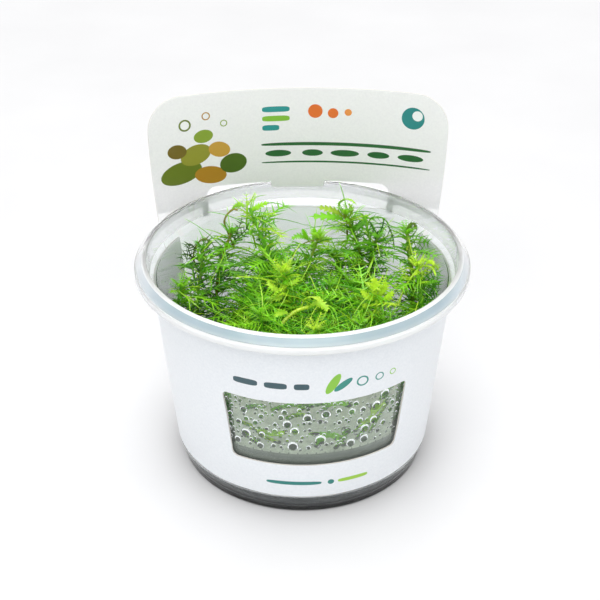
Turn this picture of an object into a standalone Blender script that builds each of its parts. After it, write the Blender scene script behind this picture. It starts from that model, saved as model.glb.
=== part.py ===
# Mermaid weed grown in tissue culture: a clear tapered cup with a snap rim, a printed card
# sleeve with a tall header behind the rim, a bed of dark nutrient gel, and the young shoots.
# Metres, +Z up. The cup stands on z = 0 round the Z axis, its front faces -Y and its header +Y.

import math
import random

import bmesh
import bpy
from mathutils import Vector
from mathutils.bvhtree import BVHTree

MM = 0.001

# Cup: a thin turned shell with a stepped rim folded over into a skirt
CUP_HEIGHT = 65.5 * MM
CUP_WALL = 0.55 * MM
CUP_SEGMENTS = 40
FOOT_RADIUS = 36.6 * MM
WALL_FOOT_RADIUS = 37.4 * MM
WALL_FOOT_Z = 7.0 * MM
NECK_RADIUS = 41.95 * MM
NECK_Z = 58.1 * MM
STOP_BEAD_RADIUS = 38.0 * MM
LIP_RADIUS = 44.0 * MM
SKIRT_RADIUS = 47.5 * MM
SKIRT_BOTTOM_Z = 61.2 * MM

# Card: a wrap round the body and a header panel that flattens out above it
CARD_THICKNESS = 0.45 * MM
CARD_GAP = 0.35 * MM
CARD_BOTTOM_Z = 7.1 * MM
CARD_WRAP_TOP_Z = 58.0 * MM
HEADER_TOP_Z = 97.0 * MM
HEADER_CENTRE_Y = 42.6 * MM
HEADER_CURVE_RADIUS = 110.0 * MM
HEADER_FREE_Z = 20.0 * MM
HEADER_FLAT_Z = 56.0 * MM
HEADER_HALF_ANGLE = math.radians(58.0)
HEADER_CORNER = 10.0 * MM
SLIT_ANGLE = math.radians(1.4)
PANEL_COLUMNS = 12
WRAP_COLUMNS = 28

# Window in the front of the wrap, a little to the right of the middle
WINDOW_BOTTOM_Z = 19.0 * MM
WINDOW_TOP_Z = 41.7 * MM
WINDOW_TURN = math.radians(3.9)
WINDOW_HALF_ANGLE_TOP = math.radians(37.4)
WINDOW_HALF_ANGLE_BOTTOM = math.radians(35.3)
WINDOW_CORNER = 1.6 * MM

# Slot in the header that the rim stands through, with a small tab in its top edge
SLOT_HALF_WIDTH = 28.4 * MM
SLOT_BOTTOM_Z = 57.2 * MM
SLOT_TOP_Z = 66.3 * MM
SLOT_CORNER = 3.2 * MM
TAB_HALF_WIDTH = 8.3 * MM
TAB_DROP = 2.0 * MM

# Gel: fills the foot of the cup, drawn up a little at the wall
GEL_TOP_Z = 22.0 * MM
GEL_EDGE_RISE = 0.9 * MM
GEL_GAP = 0.3 * MM
GEL_SEGMENTS = 32

# Shoots
STEM_SIDES = 5
STEM_RINGS = 6
STEM_RADIUS = 0.8 * MM
STEM_TOP_RADIUS = 0.5 * MM
APEX_LENGTH = 1.5 * MM
STEM_GAP = 1.5 * MM
SHOOT_GAP = 0.3 * MM
LEAF_THICKNESS = 0.5 * MM
LEAF_NODES = (4, 4, 4, 3, 3, 2, 2, 1)
LEAF_TRIES = 30
FILL_PLACES = 24
FILL_RADIUS = 36.5 * MM
FILL_LOW_Z = 43.0 * MM
FILL_HIGH_Z = 51.0 * MM
FILL_LEAF_LENGTH = 13.0 * MM
FILL_LEAF_WIDTH = 5.0 * MM
GOLDEN_ANGLE = math.radians(137.5)
SEED = 21

# The shoots that stand out, in millimetres: root on the gel, growing tip, sideways bow, and
# leaf length and width
LEADING_SHOOTS = (
    ("tall_left", (-11, 13), (-14.5, 20, 67), (5, -4), 14, 7.0),
    ("bronze_left", (-22, 12), (-21, 18, 60), (-4, 2), 12, 5.0),
    ("lobed_rear", (17, 20), (14.5, 26, 61.5), (4, 3), 15, 8.0),
    ("lobed_middle", (3, 12), (5, 19, 57), (-4, -2), 14, 7.0),
    ("arching_rear", (24, 10), (23, 19, 57), (-3, 4), 14, 5.5),
    ("coiled_right", (31, 7), (32, 16, 59.5), (2, -4), 12, 5.5),
    ("dark_left", (-29, 4), (-29, 15, 56), (-2, -4), 13, 5.0),
    ("pale_middle", (-7, -4), (-5, 3, 55), (3, 3), 14, 6.0),
    ("star_right", (15, -15), (20, -6, 53.5), (-4, 3), 13, 6.5),
    ("long_right", (30, -9), (33.5, 3, 56), (3, -3), 13, 5.0),
    ("thick_front", (-5, -20), (2, -20, 50), (-4, -3), 13, 6.0),
)


def remove_everything():
    for old in list(bpy.data.objects):
        bpy.data.objects.remove(old, do_unlink=True)


def plain_material(name, colour, roughness, transmission=0.0, ior=1.45):
    material = bpy.data.materials.new(name)
    material.use_nodes = True
    shader = material.node_tree.nodes["Principled BSDF"]
    shader.inputs["Base Color"].default_value = (*colour, 1.0)
    shader.inputs["Roughness"].default_value = roughness
    shader.inputs["Metallic"].default_value = 0.0
    shader.inputs["Transmission Weight"].default_value = transmission
    shader.inputs["IOR"].default_value = ior
    return material


def object_from_bmesh(name, shape, material, smooth_angle=math.radians(35)):
    mesh = bpy.data.meshes.new(name)
    shape.to_mesh(mesh)
    shape.free()
    mesh.materials.append(material)
    mesh.shade_smooth()
    mesh.set_sharp_from_angle(angle=smooth_angle)
    part = bpy.data.objects.new(name, mesh)
    bpy.context.scene.collection.objects.link(part)
    return part


# Turned pieces

def turned(name, outline, segments, material):
    """Spin an open (radius, height) outline round Z and close its first and last ring flat."""
    shape = bmesh.new()
    points = [shape.verts.new((radius, 0.0, height)) for radius, height in outline]
    edges = [shape.edges.new(pair) for pair in zip(points, points[1:])]
    bmesh.ops.spin(
        shape, geom=points + edges, cent=(0, 0, 0), axis=(0, 0, 1),
        angle=math.tau, steps=segments, use_merge=True,
    )
    open_edges = [edge for edge in shape.edges if edge.is_boundary]
    bmesh.ops.holes_fill(shape, edges=open_edges)
    bmesh.ops.recalc_face_normals(shape, faces=shape.faces)
    return object_from_bmesh(name, shape, material)


def wall_radius(z):
    """Outer radius of the cup's tapered wall at a height."""
    rise = (z - WALL_FOOT_Z) / (NECK_Z - WALL_FOOT_Z)
    return WALL_FOOT_RADIUS + (NECK_RADIUS - WALL_FOOT_RADIUS) * rise


def cup_outline():
    """The shell's section: up the outside, over the rim and down the inside to the floor."""
    outside = [
        (FOOT_RADIUS - 0.6 * MM, 0.0),
        (FOOT_RADIUS, 0.6 * MM),
        (FOOT_RADIUS + 0.5 * MM, 5.4 * MM),
        (STOP_BEAD_RADIUS, 5.8 * MM),
        (STOP_BEAD_RADIUS, 6.5 * MM),
        (WALL_FOOT_RADIUS, WALL_FOOT_Z),
        (NECK_RADIUS, NECK_Z),
        (LIP_RADIUS - 0.1 * MM, 59.6 * MM),
        (LIP_RADIUS + 0.65 * MM, CUP_HEIGHT - 0.95 * MM),
    ]
    skirt = [
        (SKIRT_RADIUS - 0.7 * MM, 62.5 * MM),
        (SKIRT_RADIUS - 0.7 * MM, SKIRT_BOTTOM_Z),
        (SKIRT_RADIUS, SKIRT_BOTTOM_Z),
        (SKIRT_RADIUS, 62.7 * MM),
        (SKIRT_RADIUS - 0.45 * MM, 63.0 * MM),
        (SKIRT_RADIUS - 0.45 * MM, 63.4 * MM),
        (LIP_RADIUS + 1.3 * MM, CUP_HEIGHT - 0.3 * MM),
        (LIP_RADIUS + 0.7 * MM, CUP_HEIGHT),
        (LIP_RADIUS + 0.2 * MM, CUP_HEIGHT - 0.05 * MM),
        (LIP_RADIUS, CUP_HEIGHT - 0.4 * MM),
    ]
    inside = [
        (LIP_RADIUS - 0.7 * MM, 60.0 * MM),
        (NECK_RADIUS - CUP_WALL, 58.65 * MM),
        (wall_radius(WALL_FOOT_Z) - CUP_WALL, WALL_FOOT_Z),
        (FOOT_RADIUS, 2.2 * MM),
        (FOOT_RADIUS - 0.9 * MM, 1.2 * MM),
    ]
    return outside + skirt + inside


def gel_outline():
    def gel_radius(z):
        return wall_radius(z) - CUP_WALL - GEL_GAP

    edge_top = GEL_TOP_Z + GEL_EDGE_RISE
    return [
        (FOOT_RADIUS - 1.3 * MM, 1.2 * MM + GEL_GAP),
        (FOOT_RADIUS - 0.4 * MM, 2.5 * MM),
        (gel_radius(WALL_FOOT_Z), WALL_FOOT_Z),
        (gel_radius(edge_top), edge_top),
        (gel_radius(edge_top) - 0.8 * MM, GEL_TOP_Z + 0.3 * MM),
        (gel_radius(edge_top) - 2.5 * MM, GEL_TOP_Z),
    ]


# Card sleeve with its header

def smooth_step(low, high, value):
    t = min(max((value - low) / (high - low), 0.0), 1.0)
    return t * t * (3.0 - 2.0 * t)


def header_half_width(z):
    """Half the header's width along its curve: it widens upwards and its top corners are round."""
    width = 42.5 * MM + 3.5 * MM * smooth_step(HEADER_FREE_Z, 86.0 * MM, z)
    corner_start = HEADER_TOP_Z - HEADER_CORNER
    if z > corner_start:
        rise = min(z - corner_start, HEADER_CORNER)
        width -= HEADER_CORNER - math.sqrt(HEADER_CORNER ** 2 - rise ** 2)
    return width


def wrap_point(angle, z):
    """A point of the wrap's mid-thickness, its angle counted from the header's middle."""
    radius = wall_radius(z) + CARD_GAP + CARD_THICKNESS / 2
    return Vector((radius * math.sin(angle), radius * math.cos(angle), z))


def panel_point(angle, z):
    """A point of the panel that leaves the wrap low down and flattens into the header."""
    along = angle / HEADER_HALF_ANGLE * header_half_width(z)
    bend = along / HEADER_CURVE_RADIUS
    centre_y = HEADER_CENTRE_Y - HEADER_CURVE_RADIUS
    flat_x = HEADER_CURVE_RADIUS * math.sin(bend)
    flat = Vector((flat_x, centre_y + HEADER_CURVE_RADIUS * math.cos(bend), z))
    wrapped = wrap_point(angle, min(z, CARD_WRAP_TOP_Z))
    wrapped.z = z
    return wrapped.lerp(flat, smooth_step(HEADER_FREE_Z, HEADER_FLAT_Z, z))


def add_card_patch(shape, angles, heights, point):
    """Add one stretch of card as a grid of quads, facing outwards."""
    grid = [[shape.verts.new(point(angle, z)) for angle in angles] for z in heights]
    for low, high in zip(grid, grid[1:]):
        for column in range(len(angles) - 1):
            shape.faces.new((low[column + 1], low[column], high[column], high[column + 1]))


def spread(first, last, steps):
    return [first + (last - first) * i / steps for i in range(steps + 1)]


def card_blank(material):
    """The card without its window and slot, as one closed thin body."""
    shape = bmesh.new()
    low_rows = [CARD_BOTTOM_Z, HEADER_FREE_Z]
    panel_rows = spread(HEADER_FREE_Z, HEADER_FLAT_Z, 4)
    panel_rows += [60.0 * MM, 68.0 * MM, 78.0 * MM]
    corner_start = HEADER_TOP_Z - HEADER_CORNER
    corner_turns = [math.radians(turn) for turn in (0, 30, 55, 75, 90)]
    panel_rows += [corner_start + HEADER_CORNER * math.sin(turn) for turn in corner_turns]
    panel_angles = spread(-HEADER_HALF_ANGLE, HEADER_HALF_ANGLE, PANEL_COLUMNS)
    wrap_start = HEADER_HALF_ANGLE + SLIT_ANGLE
    wrap_angles = spread(wrap_start, math.tau - wrap_start, WRAP_COLUMNS)
    slit_right = [HEADER_HALF_ANGLE, wrap_start]
    slit_left = [math.tau - wrap_start, math.tau - HEADER_HALF_ANGLE]
    add_card_patch(shape, panel_angles, low_rows, wrap_point)
    add_card_patch(shape, panel_angles, panel_rows, panel_point)
    add_card_patch(shape, wrap_angles, low_rows + [CARD_WRAP_TOP_Z], wrap_point)
    add_card_patch(shape, slit_right, low_rows, wrap_point)
    add_card_patch(shape, slit_left, low_rows, wrap_point)
    bmesh.ops.remove_doubles(shape, verts=shape.verts, dist=0.02 * MM)
    sleeve = object_from_bmesh("sleeve", shape, material)
    thicken = sleeve.modifiers.new("card_thickness", "SOLIDIFY")
    thicken.thickness = CARD_THICKNESS
    thicken.offset = 0.0
    thicken.use_even_offset = True
    return sleeve


def rounded_corner(centre_x, centre_z, radius, first_turn, steps=4):
    """Quarter-circle points from first_turn on, turning towards +90 degrees."""
    turns = [first_turn + math.pi / 2 * i / steps for i in range(steps + 1)]
    return [(centre_x + radius * math.cos(t), centre_z + radius * math.sin(t)) for t in turns]


def prism_cutter(name, near_points, far_points):
    """A closed prism between two outlines of the same number of points."""
    shape = bmesh.new()
    near = [shape.verts.new(point) for point in near_points]
    far = [shape.verts.new(point) for point in far_points]
    shape.faces.new(near)
    shape.faces.new(far)
    for i in range(len(near)):
        j = (i + 1) % len(near)
        shape.faces.new((near[i], near[j], far[j], far[i]))
    bmesh.ops.recalc_face_normals(shape, faces=shape.faces)
    mesh = bpy.data.meshes.new(name)
    shape.to_mesh(mesh)
    shape.free()
    cutter = bpy.data.objects.new(name, mesh)
    cutter.hide_render = True
    cutter.display_type = "WIRE"
    bpy.context.scene.collection.objects.link(cutter)
    return cutter


def window_cutter():
    """A wedge that opens the front of the wrap, its sides leaning like the cup's wall."""
    middle_z = (WINDOW_BOTTOM_Z + WINDOW_TOP_Z) / 2
    radius = wall_radius(middle_z)
    half_width = radius * (WINDOW_HALF_ANGLE_TOP + WINDOW_HALF_ANGLE_BOTTOM) / 2
    lean = radius * (WINDOW_HALF_ANGLE_TOP - WINDOW_HALF_ANGLE_BOTTOM) / 2
    inset_x = half_width - WINDOW_CORNER
    inset_top = WINDOW_TOP_Z - WINDOW_CORNER
    inset_bottom = WINDOW_BOTTOM_Z + WINDOW_CORNER
    outline = rounded_corner(inset_x, inset_top, WINDOW_CORNER, 0.0)
    outline += rounded_corner(-inset_x, inset_top, WINDOW_CORNER, math.pi / 2)
    outline += rounded_corner(-inset_x, inset_bottom, WINDOW_CORNER, math.pi)
    outline += rounded_corner(inset_x, inset_bottom, WINDOW_CORNER, math.pi * 1.5)

    def ring(distance):
        points = []
        for along, z in outline:
            tilt = lean * (z - middle_z) / (WINDOW_TOP_Z - middle_z)
            angle = (along + math.copysign(tilt, along)) / radius + WINDOW_TURN
            points.append((distance * math.sin(angle), -distance * math.cos(angle), z))
        return points

    return prism_cutter("window_cutter", ring(30 * MM), ring(62 * MM))


def slot_cutter():
    """A flat cutter through the header: a round-cornered slot with a notch left for the tab."""
    inset_x = SLOT_HALF_WIDTH - SLOT_CORNER
    inset_top = SLOT_TOP_Z - SLOT_CORNER
    inset_bottom = SLOT_BOTTOM_Z + SLOT_CORNER
    outline = rounded_corner(inset_x, inset_top, SLOT_CORNER, 0.0)
    outline += [(TAB_HALF_WIDTH, SLOT_TOP_Z), (TAB_HALF_WIDTH, SLOT_TOP_Z - TAB_DROP)]
    outline += [(-TAB_HALF_WIDTH, SLOT_TOP_Z - TAB_DROP), (-TAB_HALF_WIDTH, SLOT_TOP_Z)]
    outline += rounded_corner(-inset_x, inset_top, SLOT_CORNER, math.pi / 2)
    outline += rounded_corner(-inset_x, inset_bottom, SLOT_CORNER, math.pi)
    outline += rounded_corner(inset_x, inset_bottom, SLOT_CORNER, math.pi * 1.5)
    near = [(x, 25 * MM, z) for x, z in outline]
    far = [(x, 60 * MM, z) for x, z in outline]
    return prism_cutter("slot_cutter", near, far)


def cut_away(part, cutter):
    cut = part.modifiers.new(cutter.name, "BOOLEAN")
    cut.operation = "DIFFERENCE"
    cut.solver = "EXACT"
    cut.object = cutter


# Shoots: a thin stem whose side faces grow leaf blades

def tube_faces(ring_count, sides):
    """Quads between rings that follow each other in one list of points."""
    faces = []
    for ring in range(ring_count - 1):
        for k in range(sides):
            a = ring * sides + k
            b = ring * sides + (k + 1) % sides
            faces.append((a, b, b + sides, a + sides))
    return faces


def blade_faces(closed_at_stem):
    """Faces of a blade given as three rings of four points and, last, its tip."""
    faces = tube_faces(3, 4)
    faces += [(8 + k, 8 + (k + 1) % 4, 12) for k in range(4)]
    if closed_at_stem:
        faces.append((3, 2, 1, 0))
    return faces


def mesh_tree(mesh):
    points = [vertex.co for vertex in mesh.vertices]
    return BVHTree.FromPolygons(points, [tuple(face.vertices) for face in mesh.polygons])


def is_clear(points, faces, trees):
    """Whether a body crosses none of the surfaces in the trees."""
    body = BVHTree.FromPolygons(points, faces)
    return not any(tree.overlap(body) for tree in trees)


def stem_route(root, tip, bow):
    """Points along a stem from root to tip, pushed sideways by its bow halfway up."""
    points = []
    for i in range(STEM_RINGS):
        t = i / (STEM_RINGS - 1)
        point = root.lerp(tip, t)
        point.x = root.x + (tip.x - root.x) * t ** 1.4
        point.y = root.y + (tip.y - root.y) * t ** 1.4
        points.append(point + bow * math.sin(math.pi * t))
    return points


def stem_rings(route, extra=0.0):
    """Rings of points round a stem's route, the lowest one level."""
    rings = []
    for i, centre in enumerate(route):
        direction = (route[min(i + 1, len(route) - 1)] - route[max(i - 1, 0)]).normalized()
        if i == 0:
            direction = Vector((0, 0, 1))
        side = direction.cross(Vector((0, 1, 0))).normalized()
        front = direction.cross(side)
        radius = STEM_RADIUS + (STEM_TOP_RADIUS - STEM_RADIUS) * i / (len(route) - 1) + extra
        turns = [math.tau * k / STEM_SIDES for k in range(STEM_SIDES)]
        rings.append([centre + radius * (math.cos(t) * side + math.sin(t) * front) for t in turns])
    return rings


class Shoot:
    """A stem, and the blades that grow out of its side faces."""

    def __init__(self, name, route, leaf_length, leaf_width, first_turn):
        self.name = name
        self.rings = stem_rings(route)
        self.apex = route[-1] + (route[-1] - route[-2]).normalized() * APEX_LENGTH
        self.leaf_length = leaf_length
        self.leaf_width = leaf_width
        self.next_turn = first_turn
        self.blades = {}
        self.tree = BVHTree.FromPolygons(*self.body())

    def side_quad(self, node, face):
        """The corners of one side face of the stem, in the order of a blade's rings."""
        low = self.rings[node]
        high = self.rings[node + 1]
        after = (face + 1) % STEM_SIDES
        return [low[face], low[after], high[after], high[face]]

    def body(self):
        """Points and faces of the whole shoot as one closed surface."""
        points = [point for ring in self.rings for point in ring]
        faces = []
        for index, quad in enumerate(tube_faces(STEM_RINGS, STEM_SIDES)):
            blade = self.blades.get((index // STEM_SIDES, index % STEM_SIDES))
            if blade is None:
                faces.append(quad)
                continue
            corners = list(quad) + list(range(len(points), len(points) + len(blade)))
            points += blade
            faces += [tuple(corners[i] for i in face) for face in blade_faces(False)]
        top = (STEM_RINGS - 1) * STEM_SIDES
        apex = len(points)
        points.append(self.apex)
        faces += [(top + k, top + (k + 1) % STEM_SIDES, apex) for k in range(STEM_SIDES)]
        faces.append(tuple(reversed(range(STEM_SIDES))))
        return points, faces

    def add_blade(self, node, face, blade):
        self.blades[(node, face)] = blade
        self.tree = BVHTree.FromPolygons(*self.body())


def blade_points(base, out, twist, length, width, lift, droop, extra=0.0):
    """Two rings and a tip of a blade that leaves the stem at base and bends over as it goes."""
    up = Vector((0, 0, 1))
    level = up.cross(out)
    side = level * math.cos(twist) + up * math.sin(twist)
    points = []
    for share, half_width in ((0.28, 0.36 * width), (0.66, 0.5 * width)):
        centre = base + out * length * share + up * length * (lift * share - droop * share ** 2)
        slope = (out + up * (lift - 2 * droop * share)).normalized()
        thin = slope.cross(side).normalized() * (LEAF_THICKNESS / 2 + extra)
        wide = side * (half_width + extra)
        points += [centre - wide - thin, centre + wide - thin,
                   centre + wide + thin, centre - wide + thin]
    points.append(base + out * (length + extra) + up * length * (lift - droop))
    return points


def grow_blade(rng, shoot, node, other_trees):
    """Try blades at one node of a stem, near the wanted turn first, until one is clear."""
    ring_points = shoot.rings[node] + shoot.rings[node + 1]
    centre = sum(ring_points, Vector()) / len(ring_points)
    quads = [shoot.side_quad(node, face) for face in range(STEM_SIDES)]
    height_share = node / (STEM_RINGS - 2)
    for attempt in range(LEAF_TRIES):
        turn = shoot.next_turn + rng.uniform(-0.5, 0.5) * (1 + 0.35 * attempt)
        shrink = rng.uniform(0.85, 1.15) * (1 - 0.02 * attempt)
        twist = rng.uniform(-0.5, 0.5)
        lift = rng.uniform(0.2, 0.6) + 0.5 * height_share * rng.random()
        droop = rng.uniform(0.1, 0.7)
        out = Vector((math.cos(turn), math.sin(turn), 0))
        facing = [(sum(quad, Vector()) / 4 - centre).dot(out) for quad in quads]
        face = facing.index(max(facing))
        if (node, face) in shoot.blades:
            continue
        form = (centre + out * STEM_RADIUS, out, twist, shoot.leaf_length * shrink,
                shoot.leaf_width * shrink, lift, droop)
        grown = blade_points(*form, extra=SHOOT_GAP)
        if not is_clear(quads[face] + grown, blade_faces(True), other_trees):
            continue
        neck = [corner.lerp(point, 0.35) for corner, point in zip(quads[face], grown)]
        if is_clear(neck + grown, blade_faces(True), [shoot.tree]):
            shoot.add_blade(node, face, blade_points(*form))
            shoot.next_turn += GOLDEN_ANGLE
            return


def plant_stem(shoots, fixed_trees, name, route, leaf_length, leaf_width, first_turn):
    """Add a bare stem if it stands clear of the cup and of the stems already there."""
    points = [point for ring in stem_rings(route, STEM_GAP) for point in ring]
    trees = fixed_trees[:1] + [shoot.tree for shoot in shoots]
    if is_clear(points, tube_faces(STEM_RINGS, STEM_SIDES), trees):
        shoots.append(Shoot(name, route, leaf_length, leaf_width, first_turn))


def plant_stems(rng, fixed_trees):
    shoots = []
    root_z = GEL_TOP_Z + SHOOT_GAP
    for name, root, tip, bow, leaf_length, leaf_width in LEADING_SHOOTS:
        root = Vector((root[0] * MM, root[1] * MM, root_z))
        route = stem_route(root, Vector(tip) * MM, Vector((bow[0], bow[1], 0)) * MM)
        leaf = (leaf_length * MM, leaf_width * MM, rng.uniform(0, math.tau))
        plant_stem(shoots, fixed_trees, "shoot_" + name, route, *leaf)
    leading_count = len(shoots)
    for place in range(FILL_PLACES):
        distance = FILL_RADIUS * math.sqrt((place + 0.5) / FILL_PLACES)
        turn = GOLDEN_ANGLE * place
        root = Vector((distance * math.cos(turn), distance * math.sin(turn), root_z))
        tip = root * rng.uniform(0.85, 1.02)
        tip += Vector((rng.uniform(-5, 5), rng.uniform(-5, 5), 0)) * MM
        tip.z = rng.uniform(FILL_LOW_Z, FILL_HIGH_Z)
        bow = Vector((rng.uniform(-4, 4), rng.uniform(-4, 4), 0)) * MM
        leaf = (FILL_LEAF_LENGTH, FILL_LEAF_WIDTH, rng.uniform(0, math.tau))
        name = "shoot_%02d" % (len(shoots) - leading_count + 1)
        plant_stem(shoots, fixed_trees, name, stem_route(root, tip, bow), *leaf)
    return shoots


def grow_leaves(rng, shoots, fixed_trees):
    """Grow the blades of all shoots in turn, from the growing tips down."""
    for node in LEAF_NODES:
        for shoot in shoots:
            others = [other.tree for other in shoots if other is not shoot]
            grow_blade(rng, shoot, node, fixed_trees + others)


def main():
    remove_everything()
    rng = random.Random(SEED)
    clear_plastic = plain_material("clear_plastic", (0.86, 0.92, 0.92), 0.08, 1.0, 1.49)
    white_card = plain_material("white_card", (0.88, 0.89, 0.90), 0.45)
    dark_gel = plain_material("dark_gel", (0.09, 0.10, 0.10), 0.30)
    leaf_green = plain_material("leaf_green", (0.22, 0.44, 0.06), 0.50)

    cup = turned("cup", cup_outline(), CUP_SEGMENTS, clear_plastic)
    gel = turned("gel", gel_outline(), GEL_SEGMENTS, dark_gel)
    sleeve = card_blank(white_card)
    cut_away(sleeve, window_cutter())
    cut_away(sleeve, slot_cutter())

    fixed_trees = [mesh_tree(piece.data) for piece in (cup, gel, sleeve)]
    shoots = plant_stems(rng, fixed_trees)
    grow_leaves(rng, shoots, fixed_trees)
    for shoot in shoots:
        shape = bmesh.new()
        points, faces = shoot.body()
        corners = [shape.verts.new(point) for point in points]
        for face in faces:
            shape.faces.new([corners[index] for index in face])
        object_from_bmesh(shoot.name, shape, leaf_green, math.radians(60))


main()
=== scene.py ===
import math
import random

import bmesh
import bpy
import numpy as np
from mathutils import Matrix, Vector


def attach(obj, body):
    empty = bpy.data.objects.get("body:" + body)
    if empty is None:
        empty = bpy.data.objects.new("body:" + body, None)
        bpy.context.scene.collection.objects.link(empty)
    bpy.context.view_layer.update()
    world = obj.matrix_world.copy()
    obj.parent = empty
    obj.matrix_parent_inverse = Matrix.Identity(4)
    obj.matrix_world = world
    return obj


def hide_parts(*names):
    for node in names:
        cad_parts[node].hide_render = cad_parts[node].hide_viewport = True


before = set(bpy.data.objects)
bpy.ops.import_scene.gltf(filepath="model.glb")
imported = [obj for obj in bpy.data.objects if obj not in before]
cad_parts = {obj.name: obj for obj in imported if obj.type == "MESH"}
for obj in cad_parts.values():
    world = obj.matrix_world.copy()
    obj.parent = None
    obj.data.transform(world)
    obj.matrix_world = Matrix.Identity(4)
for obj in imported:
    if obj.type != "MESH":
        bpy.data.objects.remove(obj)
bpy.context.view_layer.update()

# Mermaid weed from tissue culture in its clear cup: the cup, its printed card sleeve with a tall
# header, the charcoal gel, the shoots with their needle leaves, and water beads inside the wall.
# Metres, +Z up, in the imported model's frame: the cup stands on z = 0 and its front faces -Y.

MM = 0.001
UP = Vector((0, 0, 1))
SEED = 11

# Sizes of the cup, as packed
CUP_HEIGHT = 65.5 * MM
CUP_WALL = 0.55 * MM
FOOT_RADIUS = 36.6 * MM
WALL_FOOT_RADIUS = 37.4 * MM
WALL_FOOT_Z = 7.0 * MM
NECK_RADIUS = 41.95 * MM
NECK_Z = 58.1 * MM
STOP_BEAD_RADIUS = 38.0 * MM
LIP_RADIUS = 44.0 * MM
SKIRT_RADIUS = 47.5 * MM
SKIRT_WALL = 0.7 * MM
SKIRT_BOTTOM_Z = 61.2 * MM
SKIRT_TOP_Z = 62.7 * MM
CUP_SEGMENTS = 144

# Sizes of the card sleeve, as packed
CARD_THICKNESS = 0.45 * MM
CARD_GAP = 0.35 * MM
CARD_BOTTOM_Z = 7.1 * MM
CARD_WRAP_TOP_Z = 58.0 * MM
HEADER_TOP_Z = 96.98 * MM
HEADER_CENTRE_Y = 42.6 * MM
HEADER_CURVE_RADIUS = 110.0 * MM
HEADER_FREE_Z = 20.0 * MM
HEADER_FLAT_Z = 56.0 * MM
HEADER_WIDEST_Z = 86.0 * MM
HEADER_LOW_HALF_WIDTH = 42.5 * MM
HEADER_WIDENING = 3.5 * MM
HEADER_HALF_ANGLE = math.radians(58.0)
HEADER_CORNER = 10.0 * MM
SLIT_ANGLE = math.radians(1.4)
WINDOW_BOTTOM_Z = 19.0 * MM
WINDOW_TOP_Z = 41.7 * MM
WINDOW_TURN = math.radians(3.9)
WINDOW_HALF_ANGLE_TOP = math.radians(37.4)
WINDOW_HALF_ANGLE_BOTTOM = math.radians(35.3)
WINDOW_CORNER = 1.6 * MM
SLOT_HALF_WIDTH = 28.4 * MM
SLOT_BOTTOM_Z = 57.2 * MM
SLOT_TOP_Z = 66.3 * MM
SLOT_CORNER = 3.2 * MM
TAB_HALF_WIDTH = 8.3 * MM
TAB_DROP = 2.0 * MM
TAB_CORNER = 0.9 * MM

# The printed sheet: its width in the UV map, and how far the header lies above the wrap on it
SHEET = 280.0 * MM
HEADER_SHIFT = 60.0 * MM

# Gel, and the room that the plants have: under the canopy, which is lower along the front
GEL_TOP_Z = 22.0 * MM
GEL_RISE = 0.9 * MM
CANOPY_TOP_Z = 70.0 * MM
FRONT_PLANTS_Y = -18.0 * MM
FRONT_CANOPY_Z = 55.5 * MM
WALL_CLEARANCE = 0.08 * MM

# Leaf patterns, and how many leaves of each kind a shoot and the window get
LEAF_LENGTH = 13.0 * MM
LEAF_WIDTH = 2.9 * MM
RIB_RADIUS = 0.30 * MM
PAIR_STEP = 0.55 * MM
GOLDEN_TURN = math.radians(137.5)
BLADE_SHARE = 6 / 7
FRONDS = 44
TIP_FRONDS = 6
THREADS = 30
CURLS = 24
WINDOW_FRONDS = 84

# Water on the wall: angles either side of the window's middle, in radians, and bead sizes
BEAD_REACH = 0.74
MIST_REACH = 0.60
MIST_TOP_Z = 45.0 * MM
MIST_COLUMNS = 260
MIST_ROWS = 80
MIST_THICKNESS = 0.03 * MM
LEAF_HALF_GAP = 0.75 * MM
GLINT_LEAST = 0.26 * MM
BIG_BEADS = 56
BEADS = 300
TINY_BEADS = 900
MOST_TRIES = 60000


# The camera, from the ellipses of the rim and the foot in the photograph

def place_camera():
    bpy.ops.object.camera_add(
        location=(-10.37 * MM, -292.6 * MM, 228.17 * MM),
        rotation=(math.radians(58.46), 0.0, math.radians(-1.9)),
    )
    camera = bpy.context.object
    camera.name = "photo_camera"
    camera.data.sensor_width = 36.0
    camera.data.lens = 70.94
    camera.data.clip_start = 0.01
    camera.data.clip_end = 50.0
    bpy.context.scene.camera = camera


# Materials

def srgb(code):
    """A hex sRGB colour as linear RGBA."""
    channels = [int(code[i:i + 2], 16) / 255 for i in (0, 2, 4)]
    linear = [c / 12.92 if c <= 0.04045 else ((c + 0.055) / 1.055) ** 2.4 for c in channels]
    return (*linear, 1.0)


def feed(node, *ordered, **named):
    """Set a node's open inputs in order, or by name. A code is a colour, a node is linked."""
    pairs = list(zip([socket for socket in node.inputs if socket.enabled], ordered))
    pairs += [(node.inputs[name.replace("_", " ")], value) for name, value in named.items()]
    for socket, value in pairs:
        if isinstance(value, bpy.types.Node):
            value = next(output for output in value.outputs if output.enabled)
        if isinstance(value, bpy.types.NodeSocket):
            node.id_data.links.new(value, socket)
        else:
            socket.default_value = srgb(value) if isinstance(value, str) else value


def add_node(tree, kind, *ordered, stops=(), **named):
    """Add one node with its settings, a ramp's stops and its inputs."""
    node = tree.nodes.new("ShaderNode" + kind)
    for name in [name for name in named if hasattr(node, name)]:
        setattr(node, name, named.pop(name))
    if stops:
        elements = node.color_ramp.elements
        while len(elements) < len(stops):
            elements.new(0.5)
        for element, (place, code) in zip(elements, stops):
            element.position = place
            element.color = srgb(code)
    feed(node, *ordered, **named)
    return node


def start_material(name, **sockets):
    """A material, its node tree, and its shader with the given socket values."""
    material = bpy.data.materials.new(name)
    material.use_nodes = True
    shader = material.node_tree.nodes["Principled BSDF"]
    feed(shader, **sockets)
    return material, material.node_tree, shader


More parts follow.
